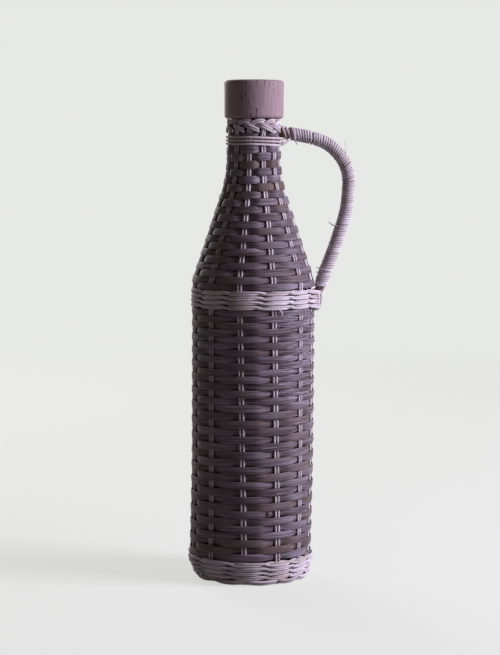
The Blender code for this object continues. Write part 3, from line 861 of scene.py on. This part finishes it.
def make_beech():
    """Turned beech: fine upright grain and short dark ray flecks, most at its front and back."""
    nodes = material_nodes("turned_beech")
    place = nodes.place()
    grain = nodes.noise(place, (900.0, 900.0, 60.0), 5.0, 0.6)
    bands = nodes.noise(place, (110.0, 60.0, 7.0))
    tone = nodes.plus(nodes.times(grain, 0.7), nodes.times(bands, 0.3))
    colour = nodes.ramp(tone, (0.30, 0.5, 0.68), BEECH_COLOURS)
    dashes = nodes.flecks(place, (1300.0, 1300.0, 330.0), 0.34, 0.16)
    flecks = nodes.flecks(place, (470.0, 470.0, 170.0), 0.30, 0.17)
    where = nodes.noise(place, (95.0, 95.0, 60.0), 1.0)
    flecks = nodes.times(flecks, nodes.span(where, 0.42, 0.54))
    ahead = nodes.add("ShaderNodeSeparateXYZ", {0: place}).outputs["Y"]
    facing = nodes.span(nodes.math("ABSOLUTE", ahead), HEAD_HIGH.x * 0.62, HEAD_HIGH.x * 0.95)
    flecks = nodes.times(flecks, nodes.plus(nodes.times(facing, 0.9), 0.1))
    colour = nodes.tint(nodes.times(dashes, 0.38), colour, DASH_COLOUR)
    colour = nodes.tint(nodes.times(flecks, 0.9), colour, FLECK_COLOUR)
    nodes.coat(colour, 0.42, 0.2, grain)
    nodes.set("Specular IOR Level", 0.16)
    nodes.bump(nodes.math("SUBTRACT", grain, nodes.times(flecks, 0.8)), 0.00012, 0.6)
    return nodes.owner


def make_cork():
    """Cork: pale grain with dark pores of several sizes."""
    nodes = material_nodes("natural_cork")
    place = nodes.place()
    grain = nodes.noise(place, (900.0, 900.0, 900.0), 5.0, 0.65)
    colour = nodes.ramp(grain, (0.34, 0.5, 0.68), CORK_COLOURS)
    pore = nodes.span(nodes.noise(place, (500.0, 500.0, 210.0), 3.0), 0.60, 0.68)
    nodes.coat(nodes.tint(pore, colour, PORE_COLOUR), 0.75, 0.2, grain)
    nodes.bump(nodes.math("SUBTRACT", grain, pore), 0.0004, 0.8)
    return nodes.owner


def make_plywood():
    """Plywood board: long grain on its faces."""
    nodes = material_nodes("birch_plywood")
    grain = nodes.noise(nodes.place(), (30.0, 600.0, 1500.0), 5.0, 0.6)
    nodes.coat(nodes.ramp(grain, (0.32, 0.5, 0.68), PLYWOOD_COLOURS), 0.6, 0.2, grain)
    nodes.bump(grain, 0.0002, 0.5)
    return nodes.owner


def make_dark_glass():
    """Dark bottle glass with faint streaks."""
    nodes = material_nodes("dark_glass")
    streaks = nodes.noise(nodes.place(), (40.0, 40.0, 12.0))
    nodes.coat(nodes.ramp(streaks, (0.3, 0.7), GLASS_COLOURS), 0.05, 0.06, streaks)
    nodes.set("Transmission Weight", 0.35)
    nodes.set("IOR", 1.5)
    return nodes.owner


# The glass, the stopper and the board


def arc(radius, height, size, start, end, steps=8):
    turns = [math.radians(blend(start, end, i / steps)) for i in range(steps + 1)]
    return [(radius + size * math.cos(turn), height + size * math.sin(turn)) for turn in turns]


def make_glass(material):
    foot = arc(GLASS_RADIUS - FOOT_ROUND, GLASS_FOOT + FOOT_ROUND, FOOT_ROUND, -90, 0)
    punt = [(0.0, GLASS_FOOT + PUNT_DEPTH)]
    for i in range(1, PUNT_STEPS + 1):
        t = i / PUNT_STEPS
        punt.append(((GLASS_RADIUS - PUNT_RIM) * t, GLASS_FOOT + PUNT_DEPTH * (1 - t * t)))
    ring_low, ring_high = GLASS_TOP - RING_LOW, GLASS_TOP - RING_HIGH
    outside = [tuple(point) for point in SIDE[1:-1] if point.y < ring_low - RING_ROUND]
    outside.append((GLASS_NECK_RADIUS, ring_low))
    outside += arc(RING_RADIUS - RING_ROUND, ring_low + RING_ROUND, RING_ROUND, -90, 0)
    outside += arc(RING_RADIUS - RING_ROUND, ring_high - RING_ROUND, RING_ROUND, 0, 90)
    outside.append((GLASS_NECK_RADIUS, ring_high))
    lip = arc(GLASS_NECK_RADIUS - LIP_ROUND, GLASS_TOP - LIP_ROUND, LIP_ROUND, 0, 90)
    lip += arc(BORE_RADIUS + LIP_ROUND, GLASS_TOP - LIP_ROUND, LIP_ROUND, 90, 180)
    floor = GLASS_FOOT + PUNT_DEPTH + GLASS_FLOOR
    inside_radius = GLASS_RADIUS - GLASS_WALL
    inside = side_line(inside_radius, BORE_RADIUS, floor)
    down = [tuple(point) for point in reversed(inside[1:-1])]
    bottom = arc(inside_radius - FOOT_ROUND, floor + FOOT_ROUND, FOOT_ROUND, 0, -90)
    outline = punt + foot + outside + lip + down + bottom + [(0.0, floor)]
    add_turned("glass_shell", "bottle", material, outline, GLASS_SIDES, ["glass_bottle"])


def make_stopper(beech, cork):
    low = HEAD_HIGH.x - HEAD_TAPER - HEAD_ROUND
    high = HEAD_HIGH.x - HEAD_ROUND
    seat, seat_top = CORK_HIGH.x, CORK_HIGH.z
    head = [(0.0, seat_top), (seat, seat_top), (seat, HEAD_LOW.z)]
    head += arc(low, HEAD_LOW.z + HEAD_ROUND, HEAD_ROUND, -90, 0)
    head += arc(high, HEAD_HIGH.z - HEAD_ROUND, HEAD_ROUND, 0, 90)
    head += [(high * share, HEAD_HIGH.z) for share in (0.75, 0.5, 0.25, 0.0)]
    add_turned("stopper_head_turned", "stopper", beech, head, HEAD_SIDES, ["stopper_head"])
    plug = [
        (0.0, CORK_LOW.z),
        (seat - CORK_CHAMFER, CORK_LOW.z),
        (seat, CORK_LOW.z + CORK_CHAMFER),
        (seat, seat_top),
        (0.0, seat_top),
    ]
    add_turned("stopper_cork_plug", "stopper", cork, plug, GLASS_SIDES, ["stopper_cork"])


# The weave


def climbed(turns, pitches):
    """The height gained over some turns; each pitch holds for PITCH_TURNS, the end ones on."""
    height = 0.0
    for i, pitch in enumerate(pitches):
        here = turns - i * PITCH_TURNS
        if i < len(pitches) - 1:
            here = min(here, PITCH_TURNS)
        if here <= 0 and i:
            break
        height += pitch * here
    return height


def over_share(pair, flat, dive):
    """0 where a strip is behind its pair, at even ones, and 1 where it is before it."""
    return eased((abs((pair + 1) % 2 - 1) - flat) / dive)


def strip_run(first, last, start_height, pitches, bottom, top, seed):
    """A strand of weaver from one pair to another, kept between the bands below and above it."""
    points, outs, widths, depths = [], [], [], []
    count = (last - first) * STEPS_PER_PAIR
    for i in range(count + 1):
        pair = blend(first + SPLICE_SHARE, last - SPLICE_SHARE, i / count)
        turns = (pair - GAP_PAIR) / PAIRS
        middle = start_height + climbed(turns, pitches)
        radius, lean = side(middle)
        pitch = (climbed(turns + 0.5, pitches) - climbed(turns - 0.5, pitches)) / math.cos(lean)
        whole = math.floor(pair)
        spacing = math.radians(pair_angle(whole + 1, middle) - pair_angle(whole, middle))
        shoulder = shoulder_share(middle)
        pair_half = blend(BODY_PAIR_HALF, NECK_PAIR_HALF, shoulder)
        flat = (pair_half + STAKE_RADIUS * PAIR_FLAT_SHARE) / ((radius + stand_off(middle)) * spacing)
        over = over_share(pair, flat, blend(BODY_DIVE_SHARE, NECK_DIVE_SHARE, shoulder))
        half = pitch * blend(UNDER_WIDTH_SHARE, OVER_WIDTH_SHARE, over) / 2
        half *= 1 + wander(pair, STRIP_WIDTH_DRIFT, seed)
        middle += wander(pair, STRIP_CLIMB_DRIFT, seed)
        low = max(middle - half * math.cos(lean), bottom)
        high = min(middle + half * math.cos(lean), top)
        height = (low + high) / 2
        reach = (STAKE_RADIUS + STRIP_FIT + STRIP_DEPTH / 2) * (2 * over - 1)
        angle = pair_angle(pair, height)
        points.append(around(angle, jacket_radius(angle, height, reach, STRIP_DEPTH / 2), height))
        tilt = Vector((0.0, 0.0, wander(pair, STRIP_TILT_DRIFT, seed)))
        outs.append((jacket_out(angle, height) + tilt).normalized())
        widths.append(max((high - low) / math.cos(lean), LEAST_WIDTH) / 2)
        depths.append(STRIP_DEPTH / 2)
    return run(points, outs, widths, depths, seed * STRIP_TONE_STEP % 1)


def frays(strand, rng):
    """Fine fibres that have come away from a strip, most of them at the front right."""
    points, outs, _, depths, _ = strand
    fibres = []
    for i in range(STEPS_PER_PAIR, len(points) - 2 * STEPS_PER_PAIR):
        place = points[i]
        beside = (place.x / math.hypot(place.x, place.y) - FRAY_SIDE) / FRAY_SIDE_WIDTH
        up = (place.z - FRAY_HEIGHT) / FRAY_HEIGHT_WIDTH
        likely = FRAY_LEAST + FRAY_MOST * math.exp(-beside * beside - up * up) * (place.y < 0)
        if rng.random() > likely:
            continue
        across = rng.uniform(-FRAY_ACROSS_SHARE, FRAY_ACROSS_SHARE) * STRIP_WIDTH
        drift = rng.uniform(-FRAY_DRIFT_SHARE, FRAY_DRIFT_SHARE) * STRIP_WIDTH
        lift = rng.uniform(*FRAY_LIFTS)
        count = rng.randint(FRAY_LEAST_STEPS, STEPS_PER_PAIR)
        route, ways = [], []
        for j in range(count + 1):
            t = j / count
            off = depths[i + j] + FRAY_RADIUS + lift * t * t
            rise = Vector((0.0, 0.0, across + drift * t))
            route.append(points[i + j] + outs[i + j] * off + rise)
            ways.append(outs[i + j])
        fibres.append(run(route, ways, FRAY_RADIUS, FRAY_RADIUS, rng.random()))
    return fibres


def add_strips(name, material, strand, replaced=()):
    add_strands(name, material, [strand], STRIP_SIDES, replaced, STRIP_SQUARE)


def rounded_end(share):
    """The width of a strip at a share of its length, which narrows at its end in a round."""
    return math.sqrt(1 + CUT_END_BLUNT - share**CUT_END_ROUND)


def end_route(places):
    rough = [around(angle, free_radius(angle, height, off), height) for angle, off, height in places]
    return smooth_route(rough, per_span=5)


def make_weavers(material, pale):
    spirals = (
        ("body_weaver", LOWER_PLACES, LOWER_HEIGHT, LOWER_PITCHES, BASE_HIGH, MID_LOW),
        ("shoulder_weaver", UPPER_PLACES, UPPER_HEIGHT, UPPER_PITCHES, MID_HIGH, WEAVE_TOP),
    )
    rng = random.Random(SEED)
    fibres = []
    for prefix, places, height, pitches, bottom, top in spirals:
        for i, (first, last) in enumerate(zip(places, places[1:])):
            low, high = bottom + EDGE_GAP, top - EDGE_GAP
            strand = strip_run(first, last, height, pitches, low, high, i + len(prefix))
            add_strips(f"{prefix}_{i + 1}_strip", material, strand, [f"{prefix}_{i + 1}"])
            fibres += frays(strand, rng)
    fibres.append(rod(end_route(STRAY_FIBRE), STRAY_RADIUS, STRAY_TONE))
    add_strands("frayed_fibres", pale, fibres, FRAY_SIDES)
    points = end_route(CUT_END)
    last = len(points) - 1
    widths = [CUT_END_WIDTH / 2 * rounded_end(i / last) for i in range(last + 1)]
    strand = run(points, level_outs(points), widths, STRIP_DEPTH / 2, CUT_END_TONE)
    add_strips("weaver_cut_end", material, strand)


# Stakes and the border that they make


def stake_line(pair):
    """The middle line of a pair: (angle, radius, height, half the pair's spread) up to the border."""
    line = []
    count = round((BORDER_START - BASE_HIGH) / STAKE_STEP)
    for i in range(count + 1):
        height = blend(BASE_HIGH - STAKE_TUCK, BORDER_START, i / count)
        angle = pair_angle(pair, height)
        radius = jacket_radius(angle, height, wander(height, STAKE_OUT_DRIFT, pair))
        angle += math.degrees(wander(height, STAKE_SIDE_DRIFT, pair) / radius)
        half = blend(BODY_PAIR_HALF, NECK_PAIR_HALF, shoulder_share(height))
        half *= 1 + wander(height, STAKE_SPREAD_DRIFT, pair)
        line.append((angle, radius, height, half))
    return line


def border_line(pair):
    line = []
    for across_share, up_share, out_share in BORDER_SHARES:
        angle = pair_angle(pair + across_share, GLASS_TOP)
        height = BORDER_START + BORDER_RISE * up_share
        radius = BORDER_CIRCLE + BORDER_STEP * out_share
        line.append((angle, radius, height, BORDER_PAIR_HALF))
    return line


def make_stakes(material):
    for pair in range(PAIRS):
        upright = stake_line(pair)
        rough = [Vector(row) for row in upright[-3:-1] + border_line(pair)]
        line = upright[:-3] + [tuple(row) for row in smooth_route(rough, per_span=5)]
        flat = [Vector((math.radians(angle) * radius, height)) for angle, radius, height, _ in line]
        for letter, hand, end in (("a", -1.0, len(line) - 2), ("b", 1.0, len(line))):
            points, outs, sizes = [], [], []
            for i in range(end):
                angle, radius, height, half = line[i]
                way = (flat[min(i + 1, len(flat) - 1)] - flat[max(i - 1, 0)]).normalized()
                right = around(angle + 90.0, 1.0, 0.0)
                shift = (right * way.y - Vector((0.0, 0.0, way.x))) * hand * half
                points.append(around(angle, radius, height) + shift)
                outs.append(around(angle, 1.0, 0.0))
                swell = blend(1.0, BORDER_SWELL, eased((height - BORDER_START) / BORDER_STEP))
                sizes.append(STAKE_RADIUS * swell)
            name = f"stake_{pair + 1:02d}{letter}"
            strand = run(points, outs, sizes, sizes, (pair * 2 + hand) * STAKE_TONE_STEP % 1)
            add_strands(f"{name}_cane", material, [strand], STAKE_SIDES, [name])


# Bands


def twine(phase):
    """A twined strand by its way past a pair: 1 in front to 0 behind, its turn and its rise."""
    v = (phase + 1 - CROSS_SHARE) % 2 - 1
    turn = eased((abs(v) - CROSS_FROM_SHARE) / (CROSS_TO_SHARE - CROSS_FROM_SHARE))
    crossing = math.sin(math.pi * turn)
    return 1 - turn, math.copysign(turn, v), math.copysign(crossing, v)


def row_level(turns):
    """The row that a band's spiral is on, level but for the step at the back."""
    whole = math.floor(turns)
    step = (STEP_FROM - STEP_TO) / PAIRS + 1
    return whole + eased((turns - whole - step) / (1 - step))


def band_run(low, high, hand, cane, seed):
    """One of the two canes of one of a band's two strands."""
    row = (high - low) / BAND_ROWS
    first = STEP_FROM
    last = STEP_TO + PAIRS * BAND_ROWS
    points, outs, tall, deep = [], [], [], []
    count = (last - first) * BAND_STEPS
    for i in range(count + 1):
        station = blend(first, last, i / count)
        out, turn, crossing = twine(station - hand + wander(station, CROSS_DRIFT, low * MILLIMETRES))
        level = min(max(row_level((station - STEP_TO) / PAIRS), 0.0), BAND_ROWS - 1)
        tucked = max(STEP_TO - station, station - last + STEP_TO - STEP_FROM, 0.0)
        height = low + row * (level + 0.5) + CROSS_RISE * crossing
        height += wander(station, BAND_UP_DRIFT, seed)
        height += cane * CANE_APART * math.cos(math.pi * turn)
        reach = STAKE_RADIUS + CANE_RADIUS + BAND_SLACK * out
        offset = reach * (2 * out - 1) + cane * CANE_APART * math.sin(math.pi * turn)
        offset += wander(station, BAND_OUT_DRIFT, seed)
        if low == MID_LOW:
            bulge = foot_bulge(station, height)
            offset += bulge
            height -= FOOT_SINK * bulge / FOOT_BULGE
        offset -= END_TUCK * tucked / (STEP_TO - STEP_FROM)
        beside = (height - BASE_SWELL_HEIGHT) / BASE_SWELL_WIDTH
        offset += BASE_SWELL * math.exp(-beside * beside)
        angle = pair_angle(station, low)
        face = free_radius(angle, height, offset) + CANE_RADIUS
        least = least_radius(height)
        deep.append(min(max((face - least) / 2, LEAST_CANE_DEPTH), CANE_RADIUS))
        points.append(around(angle, max(face - deep[-1], least + deep[-1]), height))
        outs.append(around(angle, 1.0, 0.0))
        tall.append(CANE_RADIUS * (1 - CROSS_FLAT_SHARE * abs(crossing)))
    return run(points, outs, tall, deep, seed * BAND_TONE_STEP % 1)


def foot_bulge(station, height):
    """How far the middle band stands out over the handle's foot, which is tucked behind it."""
    beside = ((station - FOOT_STATION + PAIRS / 2) % PAIRS - PAIRS / 2) / FOOT_BULGE_STATIONS
    up = blend(FOOT_BULGE_LOW_SHARE, 1.0, eased((height - MID_LOW) / (MID_HIGH - MID_LOW)))
    return FOOT_BULGE * math.exp(-beside * beside) * up


def make_bands(material):
    bands = (("base_band", BASE_LOW, BASE_HIGH), ("middle_band", MID_LOW, MID_HIGH))
    for prefix, low, high in bands:
        for i, (hand, cane) in enumerate(((0, -1), (0, 1), (1, -1), (1, 1))):
            name = f"{prefix}_{i + 1}"
            strands = [band_run(low, high, hand, cane, i + len(prefix))]
            if name == STUB_NODE:
                stub = smooth_route([around(*place) for place in STUB_PLACES], per_span=4)
                strands.append(rod(stub, CANE_RADIUS, STUB_TONE))
            add_strands(f"{name}_cane", material, strands, CANE_SIDES, [name])


def make_foot(material):
    """The border under the base: pairs of canes that loop under one another."""
    runs = []
    for loop in range(PAIRS):
        for cane in (-1, 1):
            rough = []
            for across_share, up_share, out_share in FOOT_SHARES:
                angle = pair_angle(loop + across_share, 0.0)
                radius = FOOT_RADIUS + FOOT_STEP * out_share + cane * FOOT_APART
                radius -= side_shift(0.0) * math.sin(math.radians(angle))
                height = FOOT_HEIGHT * up_share + (cane + 1) * FOOT_ABOVE
                rough.append(around(angle, radius, max(height, FOOT_LEAST)))
            tone = (loop + cane) * FOOT_TONE_STEP % 1
            runs.append(rod(smooth_route(rough, per_span=5), CANE_RADIUS, tone))
    add_strands("foot_border_canes", material, runs, CANE_SIDES, ["foot_border"])


# Tie and handle


def make_tie(material):
    points = []
    sweep = 360.0 * TIE_TURNS + TIE_END_ANGLE - TIE_START_ANGLE
    count = TIE_TURNS * TIE_POINTS
    for i in range(count + 1):
        angle = TIE_START_ANGLE + sweep * i / count
        height = TIE_TOP - TIE_PITCH * angle / 360.0 + wander(i, TIE_UP_DRIFT)
        radius = TIE_CIRCLE + wander(i, TIE_OUT_DRIFT)
        for middle, bulge in TIE_BULGES:
            radius += bulge * math.exp(-(((angle - middle) / TIE_BULGE_WIDTH) ** 2))
        points.append(around(angle, radius, height))
    rough = points[-TAIL_POINTS::TAIL_STEP]
    rough += [Vector((out, beside, points[-1].z + up)) for out, beside, up in TAIL_PLACES]
    points = points[:-TAIL_POINTS] + smooth_route(rough, per_span=8)
    strand = rod(points, TIE_RADIUS, TIE_TONE)
    add_strands("neck_tie_cane", material, [strand], CANE_SIDES, ["neck_tie"])


def handle_route():
    """Points at even steps along the middle of the handle, from the neck to the band."""
    points = []
    for out_share, down_share in UPPER_SHARES:
        x = blend(HANDLE_START, HANDLE_REACH, out_share)
        points.append(Vector((x, 0.0, blend(HANDLE_TOP, HANDLE_WIDEST, down_share))))
    for out_share, up_share in LOWER_SHARES:
        x = blend(HANDLE_FOOT, HANDLE_REACH, out_share)
        points.append(Vector((x, 0.0, blend(HANDLE_FOOT_HEIGHT, HANDLE_WIDEST, up_share))))
    fine = smooth_route(points, per_span=40)
    route, left = [fine[0]], HANDLE_STEP
    for a, b in zip(fine, fine[1:]):
        length = (b - a).length
        while left <= length:
            a = a + (b - a) * (left / length)
            route.append(a)
            length -= left
            left = HANDLE_STEP
        left -= length
    return route


ROUTE = handle_route()
ROUTE_LENGTH = (len(ROUTE) - 1) * HANDLE_STEP
ROUTE_END = len(ROUTE) - 1.001
FRONT = Vector((0.0, -1.0, 0.0))


def on_handle(distance):
    """The place on the handle's middle line, and the way to its outer side there."""
    at = min(max(distance / HANDLE_STEP, 0.0), ROUTE_END)
    i = int(at)
    place = blend(ROUTE[i], ROUTE[i + 1], at - i)
    way = ROUTE[min(i + WAY_STEPS, len(ROUTE) - 1)] - ROUTE[max(i - WAY_STEPS, 0)]
    return place, FRONT.cross(way.normalized())


def core_radius(distance):
    """The radius of the bent cane, which thins towards its foot."""
    left = max(ROUTE_LENGTH - distance, 0.0)
    return blend(CORE_TIP_RADIUS, CORE_RADIUS, min(left / TIP_LENGTH, 1.0))


def make_core(material):
    distances = [i * HANDLE_STEP for i in range(0, len(ROUTE), CORE_STEP)]
    points, outs = zip(*(on_handle(distance) for distance in distances))
    radii = [core_radius(distance) for distance in distances]
    strand = run(points, outs, radii, radii, CORE_TONE)
    add_strands("handle_core_cane", material, [strand], CORE_SIDES, ["handle_core"])


def wrapped(distance, turn, radius):
    place, out = on_handle(distance)
    way = out * math.cos(turn) + FRONT * math.sin(turn)
    return place + way * radius, way


def make_wrap(material):
    """The strand round the handle: two open turns by the neck, then close ones."""
    rng = random.Random(SEED)
    pitches = [OPEN_PITCH] * len(OPEN_TILTS)
    distance = WRAP_START + OPEN_PITCH * len(OPEN_TILTS)
    while distance < ROUTE_LENGTH - WRAP_END:
        pitch = blend(WRAP_FIRST_PITCH, WRAP_PITCH, min(distance / WRAP_FIRST_LENGTH, 1.0))
        pitches.append(pitch * rng.uniform(*PITCH_SHARES) + WRAP_GAPS.get(len(pitches), 0.0))
        distance += pitches[-1]
    points, outs, widths = [], [], []
    distance = WRAP_START
    for number, pitch in enumerate(pitches):
        lean = blend(*WRAP_TILTS, distance / ROUTE_LENGTH) * rng.uniform(*LEAN_SHARES)
        width = min(pitch, WRAP_FIRST_PITCH) * WRAP_WIDTH_SHARE
        lean += MORE_TILT * max(1 - (number - len(OPEN_TILTS)) / MORE_TILT_TURNS, 0.0)
        if number < len(OPEN_TILTS):
            lean = OPEN_TILTS[number]
        proud = rng.uniform(*WRAP_PROUD)
        for i in range(WRAP_POINTS):
            turn = math.tau * i / WRAP_POINTS
            along = distance + pitch * i / WRAP_POINTS - CORE_RADIUS * lean * math.cos(turn)
            place, way = wrapped(along, turn, core_radius(along) + WRAP_DEPTH / 2 + proud)
            points.append(place)
            outs.append(way)
            widths.append(width / 2)
        distance += pitch
    strand = run(points, outs, widths, WRAP_DEPTH / 2, WRAP_TONE)
    add_strands(
        "handle_wrap_strand", material, [strand], WRAP_SIDES, ["handle_wrap"], WRAP_SQUARE
    )


def make_loose_ends(material):
    runs = []
    for places, size in zip(LOOSE_ENDS, END_RADII):
        rough = []
        for along, degrees, off in places:
            radius = CORE_RADIUS + WRAP_DEPTH + off
            rough.append(wrapped(along, math.radians(degrees), radius)[0])
        route = smooth_route(rough, per_span=6)
        last = len(route) - 1
        sizes = [size * blend(1.0, END_TAPER_SHARE, (i / last) ** 2) for i in range(last + 1)]
        runs.append(run(route, [FRONT] * (last + 1), sizes, sizes, size * MILLIMETRES))
    add_strands("handle_loose_ends", material, runs, WRAP_SIDES)


def make_lashings(material):
    for name, hand in (("foot_lashing_front", -1.0), ("foot_lashing_back", 1.0)):
        strands = []
        for number, places in enumerate(LASH_ROUTES):
            rough = []
            for out, beside, up_share in places:
                rough.append(Vector((out, hand * beside, blend(MID_LOW, MID_HIGH, up_share))))
            tone = LASH_TONE_STEP * number + LASH_SIDE_TONE * hand
            strands.append(rod(smooth_route(rough, per_span=6), LASH_RADIUS, tone))
        add_strands(f"{name}_strand", material, strands, CANE_SIDES, [name])


# Stage


def make_stage():
    """A pale floor that takes the shadow by the bottle and fades into the background."""
    mesh = bpy.data.meshes.new("floor")
    corners = ((-1, -1), (1, -1), (1, 1), (-1, 1))
    mesh.from_pydata([(x * FLOOR_SIZE, y * FLOOR_SIZE, 0.0) for x, y in corners], [], [(0, 1, 2, 3)])
    nodes = material_nodes("floor_paper")
    away = nodes.add("ShaderNodeVectorMath", {0: nodes.place()}, operation="LENGTH").outputs["Value"]
    seen = nodes.seen_rays()
    share = nodes.times(nodes.span(away, FLOOR_PLAIN_FROM, FLOOR_PLAIN_TO), seen)
    nodes.set("Base Color", (*FLOOR_BASE, 1.0))
    nodes.set("Roughness", 0.9)
    nodes.set("Specular IOR Level", 0.1)
    nodes.set("Emission Color", (*PALE, 1.0))
    nodes.set("Emission Strength", nodes.times(seen, FLOOR_LIFT))
    shaded = nodes.tree.nodes["Principled BSDF"].outputs[0]
    plain = nodes.add("ShaderNodeEmission", {"Color": (*PALE, 1.0), "Strength": 1.0}).outputs[0]
    surface = nodes.tree.nodes["Material Output"].inputs["Surface"]
    nodes.put(surface, nodes.mix_shaders(share, shaded, plain))
    mesh.materials.append(nodes.owner)
    floor = bpy.data.objects.new("floor", mesh)
    bpy.context.scene.collection.objects.link(floor)


def add_lamp(name, place, size, power, colour):
    lamp = bpy.data.lights.new(name, "AREA")
    lamp.shape = "DISK"
    lamp.size = size
    lamp.energy = power
    lamp.color = colour
    made = bpy.data.objects.new(name, lamp)
    made.location = place
    made.rotation_euler = (Vector(LIT_PLACE) - Vector(place)).to_track_quat("-Z", "Y").to_euler()
    bpy.context.scene.collection.objects.link(made)


def make_light():
    add_lamp("key", KEY_PLACE, KEY_SIZE, KEY_POWER, KEY_COLOUR)
    add_lamp("back", BACK_PLACE, BACK_SIZE, BACK_POWER, BACK_COLOUR)
    world = bpy.data.worlds.new("studio")
    bpy.context.scene.world = world
    nodes = Nodes(world)
    nodes.tree.nodes.clear()
    plain = nodes.add("ShaderNodeBackground", {"Color": (*FILL, 1.0)}).outputs[0]
    pale = nodes.add("ShaderNodeBackground", {"Color": (*PALE, 1.0)}).outputs[0]
    mixed = nodes.mix_shaders(nodes.seen_rays(), plain, pale)
    nodes.add("ShaderNodeOutputWorld", {"Surface": mixed})


def make_camera():
    """The photograph's view: from the height of the neck, looking slightly down."""
    camera = bpy.data.cameras.new("camera")
    camera.sensor_fit = "VERTICAL"
    camera.sensor_height = SENSOR
    camera.lens = FOCAL_PIXELS / IMAGE_HEIGHT * SENSOR
    made = bpy.data.objects.new("camera", camera)
    made.location = (CAMERA_X, -CAMERA_DISTANCE, CAMERA_HEIGHT)
    tilt = Matrix.Rotation(math.pi / 2 - CAMERA_TILT, 3, "X")
    made.rotation_euler = (tilt @ Matrix.Rotation(CAMERA_ROLL, 3, "Z")).to_euler()
    bpy.context.scene.collection.objects.link(made)
    bpy.context.scene.camera = made


def main():
    brown, light, wound, pale, core = (make_cane(*recipe) for recipe in CANES)
    make_glass(make_dark_glass())
    make_stopper(make_beech(), make_cork())
    NODES["base_board"].data.materials.clear()
    NODES["base_board"].data.materials.append(make_plywood())
    make_weavers(brown, make_fibre())
    make_stakes(light)
    make_bands(light)
    make_foot(light)
    make_tie(light)
    make_core(core)
    make_wrap(wound)
    make_loose_ends(pale)
    make_lashings(pale)
    make_stage()
    make_light()
    make_camera()
    bpy.context.scene.view_settings.view_transform = "Standard"


main()
